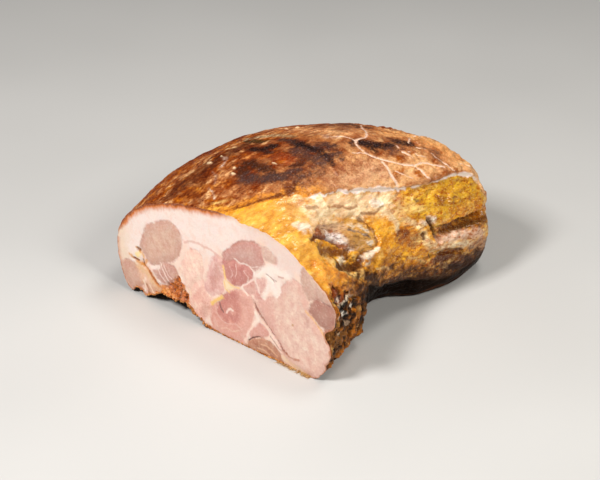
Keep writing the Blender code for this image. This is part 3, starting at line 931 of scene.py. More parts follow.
# The golden fat, the knuckle, the furrows, the lobe, and painted shadows under the lip and at the floor
wash = layered(form, (9, 16, 9), 49, layers=4, keep=0.7)
tint = tinted(SIDE_GOLD, (252, 214, 130), rise(wash, 0.1, 0.8) * 0.8)
tint = tinted(tint, (206, 124, 22), rise(-wash, 0.1, 0.8) * 0.8)
yellowed = fall(-trim + 4 * ragged, 3, 14) * fall(form_y, -80, -50)
tint = tinted(tint, (242, 166, 46), yellowed * 0.9)
tint = stroked(tint, profile, SIDE_STAINS, 0.5 * ragged)
tint = stained(tint, 0.14 + 0.45 * layered(form, (6, 15, 5), 52, layers=5, keep=0.7))
tint = tinted(tint, tinted((168, 100, 62), (216, 158, 76), rise(form_y, -66, -44)), knuckle)
tint = np.where(knuckle[:, None] > 0.3, stroked(tint, profile, KNUCKLE_STAINS_AND_GLINTS, 0.6 * ragged), tint)
tint = stroked(tint, profile, HOLLOW_STROKES_AND_GLINT, 0.55 * ragged)
furrows = fall(creases(form, (6, 16, 6), 50), 0.02, 0.14)
tint = tinted(tint, (150, 84, 26), furrows * rise(wash, -0.3, 0.5) * 0.4)
tint = tinted(tint, tinted((120, 64, 14), (72, 28, 5), rise(form_z, 30, 48)), lobe * 0.95)
tint = tinted(tint, (198, 116, 32), lobe * rise(folds, 0.1, 0.6) * 0.9)
# Near-black painted shade in the hollows of the lobe's folds
tint = tinted(tint, (10, 5, 2), lobe * rise(-folds, 0.0, 0.45) * 0.95)
tint = np.where(lobe[:, None] > 0.3, stroked(tint, profile, LOBE_STAINS_GLINTS_AND_SHADE, 0.35 * ragged), tint)
# Painted shade on the side below the overhang: brown, then near black
shade = rise(below_lip + 9 * ragged, -26, 3) * facing * (1 - lobe) * (form_x > 60)
tint = tinted(tint, (112, 58, 14), rise(shade, 0.0, 0.6) * 0.7)
tint = tinted(tint, (48, 22, 6), rise(shade, 0.4, 1.0) * 0.9)
# Painted shade, near black, under the lip and low by the floor
painted_shade = gloom * facing * (1 - lobe)
tint = tinted(tint, (24, 11, 4), painted_shade * 0.97)
tint = tinted(tint, PALE_EDGE, edge)
near_rim = fall(form_y - CUT_Y + 0.8 * ragged, 0.4, 2.6)
tint = tinted(tint, (172, 96, 44), near_rim * rise(95 - form_z, 0, 10) * 0.7)

side = Finish("smoked_fat")
coarse = side.mark("coarse")
torn_here = side.mark("torn")
muscle_here = side.mark("muscle")
gloss_and_glints = side.mark("gloss_and_glints")
broad = side.grain(7, 6, 0.65, (1, 2.6, 1), 0.25)
fine = side.grain(2.2, 3, 0.65, (1, 2.0, 1), 0.25)
finest = side.grain(1.2, 3, 0.65)
darker = side.between(broad, 0.46, 0.7) * 0.5 + side.between(fine, 0.54, 0.34) * 0.7
# Painted glints: pale specks screened over the fat where it is glossy
painted_glints = side.between(finest, 0.54, 0.7) * (coarse * 0.6 + 0.2) * gloss_and_glints
fat = side.mix(darker * coarse, side.mark("tint", "Color"), (186, 118, 40), "MULTIPLY")
fat = side.mix(painted_glints, fat, (190, 170, 126), "SCREEN")
fibre = side.grain(2.2, 3, 0.6, (1, 4.0, 1), KNUCKLE_DIP)
fat = side.mix(side.between(fibre, 0.5, 0.32) * muscle_here * 0.6, fat, (88, 38, 14))
# Pale streaks along the knuckle's fibres, partly painted glints of its wet surface
fat = side.mix(side.between(fibre, 0.56, 0.72) * muscle_here * 0.5, fat, (250, 220, 196))
shreds = side.grain(3.4, 3, 0.65, (1, 1.2, 1.8))
# On the torn lobe: near-black specks, partly painted shade, then pale painted glints
fat = side.mix(side.between(shreds, 0.54, 0.36) * torn_here * 0.9, fat, (16, 6, 2))
fat = side.mix(side.between(shreds, 0.62, 0.7) * torn_here * 0.7, fat, (236, 180, 110))
rough = 0.24 + 0.3 * side.grain(5, 3)
height = 0.55 * broad + 0.3 * fine + 0.15 * finest
SIDE_BUMP = 3.0
SIDE_CONSTANTS = {
    "Subsurface Weight": 0.1,
    "Subsurface Radius": (1.0, 0.5, 0.2),
    "Subsurface Scale": 2.0 * MM,
    "Specular IOR Level": 0.06,
    "Coat Weight": gloss_and_glints * 0.5,
    "Coat Roughness": 0.13,
}
smoked_fat = side.surface(fat, rough, height, SIDE_BUMP, SIDE_CONSTANTS)
side_marks = {
    "tint": tint,
    "torn": lobe,
    "muscle": knuckle,
    # Gloss and painted glints, less in the painted shade and on the lobe
    "gloss_and_glints": (1 - painted_shade) * (1 - 0.8 * shade) * (1 - 0.75 * lobe),
    "coarse": (0.3 + 0.7 * butt_end) * (1 - edge) * (1 - painted_shade) * (1 - lobe) * (1 - 0.5 * knuckle),
}
skin_piece("trimmed_side", is_side, side_marks, smoked_fat)


# The underside: the boned side that the ham lies on, lean and fat pressed flat and browned by the smoke, its
# brown darkened further as painted shade.  It is the rest of the skin, with soft folds that fade out at the
# floor.

UNDER_BUMP = 1.6
pressed = layered(form, (16, 24, 16), 60, layers=4) * 1.2 - 0.8 * (1 - creases(form, (18, 30, 18), 61))
skin.push(pressed * rise(form_z, 0, 6))
under = Finish("underside_meat")
# The meat's dark browns, darkened further as painted shade under the ham
base = under.mix(under.between(under.grain(16, 4), 0.4, 0.62), (44, 21, 9), (82, 44, 20))
base = under.mix(under.between(under.grain(9, 4, 0.6, (1, 2.5, 1)), 0.5, 0.66), base, (34, 16, 8))
base = under.mix(under.between(under.grain(5, 3), 0.6, 0.74) * 0.5, base, (140, 96, 56))
rough = 0.6 + 0.2 * under.grain(6, 3)
height = under.grain(3, 4, 0.65, (1, 2, 1))
boned_side = under.surface(base, rough, height, UNDER_BUMP, {"Specular IOR Level": 0.12})
skin_piece("underside", ~(is_rind | is_side), {}, boned_side)


# The cut face: the leg sliced straight across with a long knife.  Pink muscles of different cures lie in
# pale fat, with white seams and yellow gristle between them; the rind shows as a brown band along the top.
# It is a fine flat mesh inside the skin's rim, pressed out and in a little.

FACE_STEP = 0.75
RIM_MARGIN = 0.6
CDT_KEEP_INSIDE = 1
CDT_TOLERANCE = 1e-5
FAT = (246, 227, 217)
CURE = np.array((0.6, 1.6, 1.6))  # what a stronger cure takes out of red, green and blue light
VEIN = (250, 228, 216)
GRISTLE = (246, 202, 130)
SEAM = (136, 74, 58)


class Muscle(NamedTuple):
    """A muscle that the knife went through: how it stands out, its colours and its outline (x, z)."""

    dome: float
    heart: tuple
    border: tuple
    outline: tuple


MUSCLES = (
    # far left, then round and grey above it, and the small red one below that
    Muscle(0.4, (214, 172, 152), (204, 158, 138), (
        (-103, 30), (-95, 31), (-91, 29), (-85, 28), (-82, 24), (-81, 18), (-84, 12), (-88, 9), (-94, 5),
        (-98, 5), (-102, 9), (-106, 16), (-107, 23),
    )),
    Muscle(0.5, (218, 178, 156), (208, 164, 146), (
        (-85, 50), (-82, 58), (-79, 67), (-75, 73), (-68, 78), (-59, 83), (-52, 86), (-47, 86), (-42, 84),
        (-38, 80), (-36, 74), (-37, 68), (-39, 61), (-43, 54), (-50, 48), (-59, 44), (-66, 38), (-71, 36),
        (-76, 38), (-80, 43),
    )),
    Muscle(0.5, (196, 146, 132), (206, 158, 142), (
        (-70, 32), (-66, 34), (-61, 41), (-56, 44), (-49, 45), (-44, 43), (-43, 39), (-45, 34), (-49, 29),
        (-54, 26), (-60, 24), (-66, 26), (-69, 28),
    )),
    # pale ones in the middle
    Muscle(0.4, (252, 218, 198), (244, 206, 188), (
        (-39, 43), (-36, 51), (-34, 58), (-31, 65), (-26, 69), (-18, 70), (-13, 65), (-13, 54), (-14, 47),
        (-20, 41), (-27, 34), (-30, 28), (-34, 34),
    )),
    Muscle(0.4, (240, 188, 170), (242, 198, 180), (
        (-29, 27), (-26, 33), (-19, 40), (-13, 44), (-10, 36), (-5, 32), (-5, 24), (-8, 14), (-14, 9),
        (-24, 10), (-30, 14), (-31, 20),
    )),
    Muscle(0.5, (222, 168, 158), (234, 188, 178), (
        (0, 71), (4, 75), (9, 72), (10, 66), (10, 59), (9, 51), (9, 45), (7, 40), (1, 36), (-4, 33),
        (-9, 35), (-11, 41), (-9, 48), (-6, 56), (-4, 64),
    )),
    # the large one in the centre, two tones across a vein, with a pale one to its right
    Muscle(0.6, (208, 164, 152), (204, 150, 138), (
        (10, 76), (13, 82), (19, 88), (24, 93), (31, 97), (39, 100), (45, 101), (50, 100), (52, 95),
        (53, 89), (54, 84), (51, 79), (46, 74), (43, 75), (41, 77), (37, 78), (32, 77), (27, 77), (22, 78),
        (17, 73), (12, 70),
    )),
    Muscle(0.5, (196, 124, 114), (204, 136, 126), (
        (11, 72), (17, 74), (22, 77), (27, 76), (32, 76), (37, 77), (41, 75), (42, 69), (38, 63), (32, 58),
        (27, 55), (21, 53), (17, 55), (13, 59), (10, 66),
    )),
    Muscle(0.3, (222, 190, 172), (218, 180, 164), (
        (52, 100), (58, 101), (62, 98), (66, 95), (66, 91), (61, 89), (57, 90), (54, 91),
    )),
    Muscle(0.3, (218, 162, 150), (222, 170, 158), (
        (32, 57), (38, 63), (42, 65), (44, 60), (43, 54), (38, 52), (34, 52),
    )),
    Muscle(0.3, (222, 170, 158), (226, 178, 166), (
        (44, 66), (50, 71), (56, 72), (57, 66), (55, 60), (52, 54), (45, 50), (43, 55), (45, 60),
    )),
    # the round pink one below, and two wedges
    Muscle(0.6, (220, 156, 140), (226, 172, 156), (
        (14, 45), (18, 49), (26, 51), (35, 52), (40, 49), (42, 43), (42, 37), (41, 30), (39, 24), (35, 15),
        (32, 8), (28, 2), (18, -1), (6, -1), (-1, 3), (-4, 9), (-5, 16), (-4, 22), (0, 27), (6, 32),
        (11, 38),
    )),
    Muscle(0.3, (226, 172, 158), (218, 160, 146), (
        (49, 28), (55, 26), (58, 22), (53, 16), (44, 13), (38, 11), (39, 19), (45, 25),
    )),
    Muscle(0.4, (178, 120, 92), (192, 136, 108), (
        (36, 6), (43, 11), (51, 15), (59, 15), (66, 12), (70, 9), (70, 3), (62, -1), (48, -1), (38, 0),
    )),
    # the largest, pale, and the two that meet the right-hand rim
    Muscle(0.7, (234, 198, 180), (224, 180, 164), (
        (42, 48), (45, 46), (52, 53), (60, 57), (69, 63), (71, 70), (76, 76), (81, 83), (87, 83), (92, 81),
        (96, 74), (99, 68), (101, 62), (105, 54), (110, 50), (116, 47), (122, 40), (125, 32), (124, 25),
        (121, 18), (115, 9), (108, 1), (98, 1), (86, 2), (77, 5), (72, 13), (67, 20), (60, 27), (55, 32),
        (48, 39), (43, 44),
    )),
    Muscle(0.3, (214, 178, 160), (208, 168, 150), (
        (94, 97), (100, 101), (107, 101), (114, 98), (120, 92), (124, 84), (126, 77), (120, 74), (114, 75),
        (107, 75), (100, 71), (96, 74), (93, 82), (92, 90),
    )),
    Muscle(0.4, (186, 138, 122), (176, 126, 110), (
        (102, 69), (105, 73), (112, 74), (120, 73), (126, 73), (128, 67), (125, 60), (121, 53), (114, 52),
        (108, 54), (104, 57), (101, 62),
    )),
)
# Brush strokes on the cut face: colour, strength, width and points (x, z).  The first two lie under the
# muscles, the rest on them.
FACE_STROKES = (
    ((236, 208, 196), 0.7, 26, ((56, 112), (82, 102), (96, 84))),
    ((238, 212, 186), 0.8, 11, ((-108, 58), (-110, 44), (-106, 34))),
    ((220, 160, 148), 0.55, 9, ((54, 50), (57, 43), (62, 35))),
    ((192, 118, 108), 0.8, 4.4, ((8, 32), (12, 38), (19, 43), (27, 45), (33, 42))),
    ((200, 128, 116), 0.6, 7, ((10, 26), (17, 34), (25, 34))),
    ((198, 126, 116), 0.75, 3.6, ((5, 28), (7, 21), (12, 17))),
    ((200, 128, 118), 0.8, 3.6, ((15, 25), (21, 22), (25, 25))),
    ((202, 138, 128), 0.6, 4, ((18, 66), (26, 66), (34, 66))),
    ((234, 182, 166), 0.6, 8, ((33, 44), (37, 32), (33, 18))),
    ((228, 172, 156), 0.5, 6, ((26, 8), (12, 6), (4, 10))),
    ((200, 138, 126), 0.6, 2.4, ((12, 62), (13, 68), (17, 72))),
    ((192, 128, 112), 0.6, 1.3, ((19, 88), (27, 95), (36, 100), (44, 102))),
    ((204, 146, 134), 0.6, 5, ((0, 48), (3, 56), (4, 64))),
    ((206, 148, 132), 0.6, 5, ((-10, 20), (-12, 14))),
    ((224, 176, 160), 0.7, 1.2, ((-33, 73), (-27, 76), (-18, 78), (-10, 77), (-2, 77), (3, 74), (8, 73))),
    ((200, 144, 132), 0.5, 2.5, ((94, 56), (98, 54), (99, 48))),
    (VEIN, 0.85, 0.9, ((22, 79), (28, 77), (34, 78), (39, 77), (43, 74), (45, 68))),
    (VEIN, 0.7, 0.5, ((39, 77), (45, 80), (50, 82))),
    (VEIN, 0.9, 2.0, ((-72, 34), (-67, 36), (-63, 38))),
    (VEIN, 0.8, 0.8, ((-62, 43), (-57, 34), (-52, 27))),
    (VEIN, 0.7, 0.7, ((-66, 36), (-61, 30), (-56, 26))),
    (VEIN, 0.7, 0.6, ((-58, 42), (-53, 35), (-48, 30))),
    ((236, 186, 128), 0.8, 1.1, ((97, 60), (104, 55), (110, 50), (114, 46), (118, 41))),
    (VEIN, 0.6, 0.5, ((24, 74), (25, 68), (23, 62))),
    (VEIN, 0.6, 0.5, ((33, 71), (37, 67), (36, 61))),
    (VEIN, 0.5, 0.4, ((18, 70), (20, 64), (19, 60))),
    (VEIN, 0.8, 0.9, ((43, 74), (42, 68), (37, 62), (30, 55), (36, 50))),
    (VEIN, 0.8, 1.1, ((44, 67), (47, 62), (49, 57))),
    (VEIN, 0.9, 1.2, ((13, 25), (16, 29), (20, 29))),
    ((252, 234, 222), 0.95, 4.2, ((47, 74), (54, 80), (60, 84), (68, 84), (78, 84))),
    ((252, 234, 222), 0.95, 4.2, ((59, 80), (60, 74), (62, 68), (66, 66))),
    ((252, 234, 222), 0.95, 2.6, ((58, 70), (57, 63), (53, 55))),
    ((252, 234, 222), 0.95, 2.2, ((68, 74), (69, 67), (66, 61))),
    ((252, 232, 216), 0.9, 1.9, ((44, 36), (46, 31), (42, 24))),
    ((250, 224, 208), 0.85, 1.0, ((43, 26), (38, 18), (34, 11))),
    ((246, 216, 198), 0.85, 1.2, ((53, 30), (58, 25), (62, 19), (68, 13))),
    ((248, 220, 202), 0.8, 1.6, ((54, 17), (60, 19), (66, 15))),
    (GRISTLE, 0.95, 1.3, ((10, 67), (11, 60), (13, 54))),
    ((250, 224, 184), 1.0, 2.8, ((13, 52), (14, 48), (19, 51))),
    (GRISTLE, 0.8, 0.9, ((11, 53), (12, 46), (16, 45))),
    (GRISTLE, 0.8, 0.9, ((15, 54), (21, 52), (27, 53))),
    ((246, 200, 112), 1.0, 1.9, ((8, 37), (1, 31), (-4, 26))),
    ((236, 190, 160), 0.9, 9, ((-80, 24), (-76, 17), (-70, 11))),
    ((250, 222, 204), 0.8, 1.6, ((-81, 20), (-80, 14), (-78, 10))),
    ((232, 188, 140), 0.85, 4.5, ((-88, 31), (-82, 28), (-76, 25), (-70, 20), (-64, 15))),
    ((206, 122, 34), 0.9, 1.5, ((-84, 33), (-78, 31), (-74, 27), (-70, 22), (-64, 18), (-57, 21))),
    ((150, 74, 14), 0.8, 0.8, ((-76, 29), (-72, 25), (-69, 21), (-64, 19))),
    ((218, 144, 66), 0.8, 1.6, ((-98, 37), (-92, 35), (-86, 33), (-80, 34), (-78, 38))),
    ((252, 224, 166), 1.0, 3, ((-89, 40), (-86, 43))),
    ((226, 160, 84), 0.8, 1.2, ((-90, 47), (-83, 44), (-81, 40))),
    ((206, 148, 116), 0.7, 5, ((-80, 12), (-72, 12), (-62, 13))),
    ((190, 112, 50), 0.8, 2.2, ((-94, 5), (-86, 7), (-80, 4), (-70, 6), (-58, 10))),
    ((250, 226, 200), 0.8, 1.0, ((-83, 17), (-81, 12), (-82, 7))),
    ((250, 226, 200), 0.7, 1.0, ((-76, 15), (-73, 11), (-71, 8))),
    ((160, 86, 30), 0.7, 1.0, ((-79, 14), (-77, 9), (-78, 5))),
    ((244, 208, 178), 0.8, 1.4, ((-31, 30), (-28, 27), (-27, 25))),
    ((238, 204, 170), 0.85, 2.6, ((74, 6), (84, 3), (96, 1))),
    ((190, 120, 92), 0.8, 1.2, ((73, 13), (78, 11), (84, 10), (90, 11))),
    (SEAM, 0.75, 0.75, ((43, 45), (48, 38), (55, 31), (61, 26), (68, 19), (73, 14), (78, 12))),
    ((150, 70, 58), 0.9, 0.9, ((59, 28), (63, 24))),
    (SEAM, 0.6, 0.7, ((60, 21), (66, 15), (71, 12))),
    ((110, 56, 44), 0.9, 0.6, ((36, 7), (40, 11), (44, 13), (49, 15))),
    ((232, 188, 150), 0.7, 0.8, ((50, 9), (56, 10), (62, 8), (67, 5))),
    ((236, 196, 160), 0.7, 0.7, ((46, 4), (52, 5), (58, 3))),
    ((238, 206, 178), 0.6, 0.6, ((6, 6), (12, 9), (19, 9), (26, 12))),
    ((238, 206, 190), 0.5, 0.6, ((2, 20), (7, 15), (14, 14), (22, 17), (30, 15))),
    (SEAM, 0.6, 0.7, ((56, 77), (61, 76), (64, 73))),
    (SEAM, 0.5, 0.6, ((61, 76), (67, 75))),
    ((196, 120, 96), 0.6, 0.9, ((69, 80), (74, 81))),
    ((110, 84, 78), 0.75, 0.8, ((5, 30), (7, 26), (9, 23))),
    ((132, 84, 74), 0.6, 0.7, ((112, 75), (116, 74), (121, 73))),
    ((196, 140, 88), 0.8, 1.0, ((84, 41.4), (84.4, 42.6))),
)
UNDER_MUSCLES = 2
TORN_PART = (
    (-84, 4), (-78, 6), (-70, 9), (-63, 16), (-56, 23), (-50, 27), (-44, 37), (-40, 38), (-36, 33),
    (-32, 27), (-29, 24), (-28, 16), (-32, 8), (-50, 2), (-70, -4), (-84, -2),
)
TORN_CORE = (
    (-45, 34), (-42, 39), (-36, 31), (-31, 22), (-30, 12), (-36, 8), (-44, 12), (-50, 16), (-58, 20),
    (-56, 24), (-50, 27),
)
# Cuts and holes in the face: depth, width and points (x, z)
FACE_RELIEF = (
    (-1.2, 1.6, ((-88, 46), (-85.5, 46.5))),
    (-1.2, 1.2, ((-93, 35), (-88, 35))),
    (-1.2, 1.0, ((-82, 37), (-81, 33))),
    (-1.0, 0.9, ((43, 45), (55, 31), (68, 19), (78, 12))),
    (-0.9, 0.7, ((36, 7), (42, 12), (49, 15))),
    (-0.7, 0.8, ((5, 30), (9, 23))),
    (-0.8, 1.6, ((-85, 34), (-73, 28), (-66, 20), (-53, 23))),
    (-0.6, 1.0, ((56, 77), (64, 73))),
    (0.5, 4.0, ((-90, 41), (-85, 43))),
)
HOLE_DEPTH = 1.1  # a cut deeper than this is browned inside

rim = skin.points[skin.rim_loop()]
rim_plane = rim[:, [0, 2]]
columns = np.arange(rim_plane[:, 0].min(), rim_plane[:, 0].max(), FACE_STEP)
rows = np.arange(rim_plane[:, 1].min(), rim_plane[:, 1].max(), FACE_STEP * math.sqrt(0.75))
lattice = np.array([(x + FACE_STEP / 2 * (k % 2), z) for k, z in enumerate(rows) for x in columns])
lattice = lattice[inside(lattice, rim_plane) > RIM_MARGIN]
flat_points = [Vector(p) for p in np.vstack([rim_plane, lattice])]
rim_face = [list(range(len(rim_plane)))]
made = delaunay_2d_cdt(flat_points, [], rim_face, CDT_KEEP_INSIDE, CDT_TOLERANCE)
plane = np.array([tuple(v) for v in made[0]])
face_triangles = np.array(made[2])
face_x, face_z = plane.T
depth_in = inside(plane, rim_plane[::3])
depth_in[: len(rim_plane)] = 0
space = np.column_stack([face_x, np.zeros(len(plane)), face_z])
where = plane + 0.6 * drifts(space, 6, 70) + 0.3 * drifts(space, 2, 72)

# Fat in thin sheets, then the muscles in it, with their marbling, veins, seams and holes
low_down = fall(face_z, 60, 84)
at_rim = fall(depth_in, 0.5, 5)
blotch = layered(space, (7, 7, 9), 69, layers=4, keep=0.7)
speckle = layered(space, 1.9, 67, layers=2, keep=0.8)
sheets = fall(np.abs(np.sin(depth_in / 4.5 + 2.5 * blotch)), 0.0, 0.35)
flesh = tinted(FAT, (238, 204, 190), 0.3 * sheets)
flesh = tinted(flesh, (244, 210, 194), rise(blotch, 0.1, 0.9) * 0.5)
flesh = stroked(flesh, where, FACE_STROKES[:UNDER_MUSCLES], 0.3 * blotch)
depths = [inside(where, curve_through(muscle.outline, 4, closed=True)) for muscle in MUSCLES]
flesh = tinted(flesh, (246, 216, 198), rise(np.sort(np.array(depths), axis=0)[-2], -11, -3))
flesh = tinted(flesh, (214, 158, 128), at_rim * (face_z < 50) * 0.8)
lean = np.zeros(len(where))
lift = np.zeros(len(where))
for muscle, depth in zip(MUSCLES, depths):
    body = rise(depth + 0.8 * blotch + 0.4 * speckle + 3.0 * at_rim * low_down, -2.2, 0.7)
    heart = rise(depth + 3.5 * blotch, 0.5, 10)
    flesh = tinted(flesh, tinted(muscle.border, muscle.heart, heart), body)
    lean = np.maximum(lean, body)
    lift += muscle.dome * rise(depth, 0, 6) - 0.25 * np.exp(-((depth / 0.8) ** 2))
flesh = stained(flesh, lean * (0.11 * blotch + 0.05 * speckle), CURE)
marbling = fall(creases(space, (5, 5, 7), 66), 0.0, 0.16)
flesh = tinted(flesh, (250, 222, 208), lean * marbling * rise(blotch, -0.3, 0.5) * 0.3)
flesh = stroked(flesh, where, FACE_STROKES[UNDER_MUSCLES:], 0.3 * speckle + 0.2 * blotch)
for raised, width, points in FACE_RELIEF:
    share = on_stroke(where, points, width, 0.4 * speckle)
    flesh = tinted(flesh, (130, 70, 24), share * (raised < -HOLE_DEPTH))
    lift += raised * share

# Torn browned meat at the lower left, where bone and gristle were pulled out
torn_share = rise(inside(where, TORN_PART) + noise(space, 5, 74) * 2.5, -0.5, 2.5)
torn_core = rise(inside(where, TORN_CORE) + noise(space, 4, 75) * 2, -1.5, 2)
crust = layered(space, (3.0, 3.0, 4.6), 76, layers=3, keep=0.8)
strings = creases(space, (3, 3, 5), 65)
flesh = tinted(flesh, (232, 150, 56), torn_share * 0.9)
flesh = tinted(flesh, (200, 98, 10), torn_share * rise(crust, -0.2, 0.5) * 0.85)
flesh = tinted(flesh, (196, 100, 16), torn_core * 0.9)
flesh = tinted(flesh, (92, 38, 6), torn_core * rise(crust, 0.0, 0.6))
flesh = tinted(flesh, (255, 208, 144), torn_share * fall(strings, 0.04, 0.2) * 0.8)
lift -= torn_share * (0.6 + 0.8 * crust + 0.8 * strings) + torn_core * (1.0 + 1.2 * crust)

# The rind and the smoked edge, seen end on
top_left = fall(face_x, 2, 26)
high = rise(face_z, 52, 66)
frayed = depth_in + noise(space, (1.6, 1, 4), 77) * 0.9 + noise(space, 6, 78) * 1.1
band = 1.0 + 4.4 * high * top_left + 1.6 * high * (1 - top_left) * fall(face_x, 55, 85)
rust = fall(frayed, band * 0.3, band * 1.4)
inner = tinted((240, 200, 168), (210, 112, 14), high * top_left)
inner = tinted(inner, (138, 62, 6), fall(frayed, 0.6, 2.6) * high * top_left)
inner = tinted(inner, (176, 96, 40), 1 - high)
flesh = tinted(flesh, inner, rust * (0.75 - 0.3 * high + 0.55 * high * top_left))

lift += noise(space, 9, 79) * 0.2 + noise(space, 2.4, 68) * 0.08
lift *= rise(depth_in, 0, 2)
face_points = np.column_stack([face_x, CUT_Y - lift, face_z])
face_points[: len(rim_plane)] = rim

cut = Finish("cut_meat")
fine = cut.grain(1.6, 3, 0.65)
lean_here = cut.mark("lean")
meat = cut.mix(cut.between(fine, 0.48, 0.72) * 0.16, cut.mark("tint", "Color"), (255, 236, 226))
meat = cut.mix(cut.between(fine, 0.52, 0.3) * (lean_here * 0.12 + 0.06), meat, (186, 118, 102))
meat = cut.mix(cut.between(cut.grain(7, 3), 0.5, 0.7) * 0.15, meat, (236, 190, 168))
rough = 0.38 + 0.2 * cut.grain(3, 3)
height = 0.6 * cut.grain(0.9, 3, 0.6) + 0.4 * cut.grain(3.5, 3)
CUT_BUMP = 0.3
CUT_CONSTANTS = {
    "Subsurface Weight": 0.2,
    "Subsurface Radius": (1.0, 0.4, 0.25),
    "Subsurface Scale": 1.4 * MM,
    "Specular IOR Level": 0.25,
    "Coat Weight": 0.12,
    "Coat Roughness": 0.25,
}
cut_meat = cut.surface(meat, rough, height, CUT_BUMP, CUT_CONSTANTS)
new_piece("cut_face", face_points, face_triangles, {"tint": flesh, "lean": lean}, cut_meat)


# The crumbs: bits of browned meat that the knife left along the bottom of the cut, and a fringe of torn
# fibres at its right-hand end.  The bits are small lumpy balls and the fibres tapering tubes, all one mesh.

RANDOM_SEED = 5
CRUMB_COLOURS = ((150, 78, 26), (228, 162, 92))
# Crumbs per stretch of the cut's foot: from and to x, how many, size
CRUMBS = (
    (-98, -84, 8, 0.7),
    (-78, -30, 34, 1.0),
    (-30, -6, 30, 1.5),
    (-6, 46, 60, 0.8),
    (46, 74, 34, 1.0),
)
CRUMB_RADII = (0.5, 1.3)
FOOT_TOP = 20.0  # the rim below this height is the cut's foot
FIBRES = 110
FIBRE_COLOURS = ((176, 112, 36), (240, 200, 140))
FIBRE_ENDS = (68, 103)
FIBRE_LENGTHS = (2.0, 5.0)
FIBRE_SWAYS = (-0.5, 0.3)
FIBRE_RADIUS = 0.34
FIBRE_RINGS = 4
FIBRE_SIDES = 4
CRUMB_BUMP = 0.3

random = np.random.default_rng(RANDOM_SEED)


class Bits:
    """Small bits of meat gathered into one mesh, each with a colour between two."""

    def __init__(self):
        self.points, self.triangles, self.tints = [], [], []
        self.count = 0

    def add(self, points, triangles, colours):
        """Adds a bit, with its colour drawn at random between the two."""
        shade = tinted(*colours, np.array([random.random()]))
        self.points.append(points)
        self.triangles.append(triangles + self.count)
        self.tints.append(np.repeat(shade, len(points), axis=0))
        self.count += len(points)


bits = Bits()
low_rim = rim[rim[:, 2] < FOOT_TOP]
low_rim = low_rim[np.argsort(low_rim[:, 0])]
lump = bmesh.new()
bmesh.ops.create_icosphere(lump, subdivisions=2, radius=1.0)
ball = np.array([v.co for v in lump.verts])
ball_triangles = np.array([[v.index for v in f.verts] for f in lump.faces])
lump.free()
for start, end, number, size in CRUMBS:
    for x in random.uniform(start, end, number):
        radii = size * random.uniform(*CRUMB_RADII, 3)
        y = CUT_Y - 0.2 + 0.6 * random.random()
        z = max(np.interp(x, low_rim[:, 0], low_rim[:, 2]) + 0.5 * random.random(), radii[2])
        centre = np.array((x, y, z))
        lumpy = 1 + 0.35 * noise(ball * radii + centre, 0.9, 81)
        bits.add(centre + ball * radii * lumpy[:, None], ball_triangles, CRUMB_COLOURS)

ring = np.array([(math.cos(a), math.sin(a)) for a in np.arange(FIBRE_SIDES) * math.tau / FIBRE_SIDES])
tube = []
for k in range(FIBRE_RINGS - 1):
    for number in range(FIBRE_SIDES):
        a = k * FIBRE_SIDES + number
        b = k * FIBRE_SIDES + (number + 1) % FIBRE_SIDES
        tube += [(a, b, b + FIBRE_SIDES), (a, b + FIBRE_SIDES, a + FIBRE_SIDES)]
along = np.linspace(0, 1, FIBRE_RINGS)
radii = np.repeat(FIBRE_RADIUS * (1.15 - along), FIBRE_SIDES)[:, None]
for x in random.uniform(*FIBRE_ENDS, FIBRES):
    length = random.uniform(*FIBRE_LENGTHS)
    sway = random.uniform(*FIBRE_SWAYS)
    root = np.array((x, CUT_Y + 0.5, 0.5 + 1.2 * random.random()))
    drop = root[2] - 0.3
    spine = root + np.column_stack([sway * length * along**2, -length * along, -drop * along])
    points = np.repeat(spine, FIBRE_SIDES, axis=0)
    points[:, [0, 2]] += np.tile(ring, (FIBRE_RINGS, 1)) * radii
    bits.add(points, np.array(tube), FIBRE_COLOURS)

crumb = Finish("browned_crumbs")
speckled = crumb.between(crumb.grain(1.0, 2), 0.5, 0.35) * 0.6
shade = crumb.mix(speckled, crumb.mark("tint", "Color"), (96, 44, 12))
browned = crumb.surface(shade, 0.45, crumb.grain(0.6, 2), CRUMB_BUMP, {"Specular IOR Level": 0.2})
crumb_points, crumb_triangles, crumb_tints = map(np.vstack, (bits.points, bits.triangles, bits.tints))
new_piece("crumbs", crumb_points, crumb_triangles, {"tint": crumb_tints}, browned)


# The setting: a pale floor, three large soft lamps and an even sky, seen from the cut's right-hand corner.
# The floor is one flat sheet, faintly uneven in tone.

FLOOR_HALF = 4.0
FLOOR_BUMP = 0.02
AIM = Vector((0.006, 0.0, 0.07))
AZIMUTH = math.radians(40.3)
ELEVATION = math.radians(30.0)
DISTANCE = 1.42
SIDEWAYS = -0.0162
UPWARDS = -0.0306
FOCAL_LENGTH = 100
SENSOR_WIDTH = 36
LAMP_AIM = Vector((0, 0, 0.06))
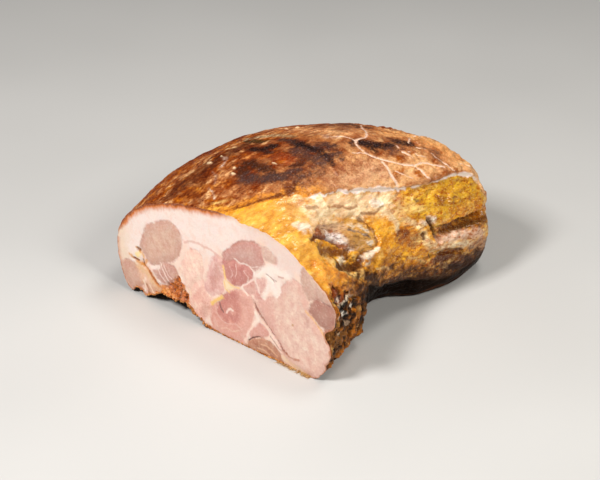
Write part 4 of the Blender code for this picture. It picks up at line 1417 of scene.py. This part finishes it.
# Lamps: name, place, size, watts and colour
LAMPS = (
    ("key", (-0.2, -1.1, 1.25), 0.4, 24, (1.0, 0.975, 0.965)),
    ("side", (1.1, -0.2, 1.0), 0.4, 10.5, (1.0, 0.97, 0.92)),
    ("top", (0.3, 0.4, 1.5), 0.5, 8, (1.0, 0.98, 0.95)),
)
SKY_COLOUR = (1, 1, 1, 1)
SKY_STRENGTH = 0.05

scene = bpy.context.scene
corners = [(-FLOOR_HALF, -FLOOR_HALF, 0), (FLOOR_HALF, -FLOOR_HALF, 0)]
corners += [(FLOOR_HALF, FLOOR_HALF, 0), (-FLOOR_HALF, FLOOR_HALF, 0)]
floor_data = bpy.data.meshes.new("floor")
floor_data.from_pydata(corners, [], [(0, 1, 2, 3)])
floor = bpy.data.objects.new("floor", floor_data)
scene.collection.objects.link(floor)
ground = Finish("pale_floor")
uneven = ground.between(ground.grain(400, 2), 0.3, 0.7)
pale = ground.mix(uneven, (198, 197, 194), (204, 203, 200))
floor_material = ground.surface(pale, 0.7, ground.grain(2, 2), FLOOR_BUMP, {"Specular IOR Level": 0.2})
floor_data.materials.append(floor_material)

level = math.cos(ELEVATION)
back = Vector((math.sin(AZIMUTH) * level, -math.cos(AZIMUTH) * level, math.sin(ELEVATION)))
right = Vector((math.cos(AZIMUTH), math.sin(AZIMUTH), 0))
up = back.cross(right)
lens = bpy.data.cameras.new("camera")
lens.lens = FOCAL_LENGTH
lens.sensor_width = SENSOR_WIDTH
camera = bpy.data.objects.new("camera", lens)
scene.collection.objects.link(camera)
turned = Matrix((right, up, back)).transposed().to_4x4()
camera.matrix_world = Matrix.Translation(AIM + right * SIDEWAYS + up * UPWARDS + back * DISTANCE) @ turned
scene.camera = camera

for name, place, size, watts, colour in LAMPS:
    light = bpy.data.lights.new(name, "AREA")
    light.size = size
    light.energy = watts
    light.color = colour
    lamp = bpy.data.objects.new(name, light)
    lamp.location = place
    lamp.rotation_euler = (LAMP_AIM - Vector(place)).to_track_quat("-Z", "Y").to_euler()
    scene.collection.objects.link(lamp)
world = bpy.data.worlds.new("sky")
world.use_nodes = True
world.node_tree.nodes["Background"].inputs["Color"].default_value = SKY_COLOUR
world.node_tree.nodes["Background"].inputs["Strength"].default_value = SKY_STRENGTH
scene.world = world
scene.view_settings.view_transform = "Standard"
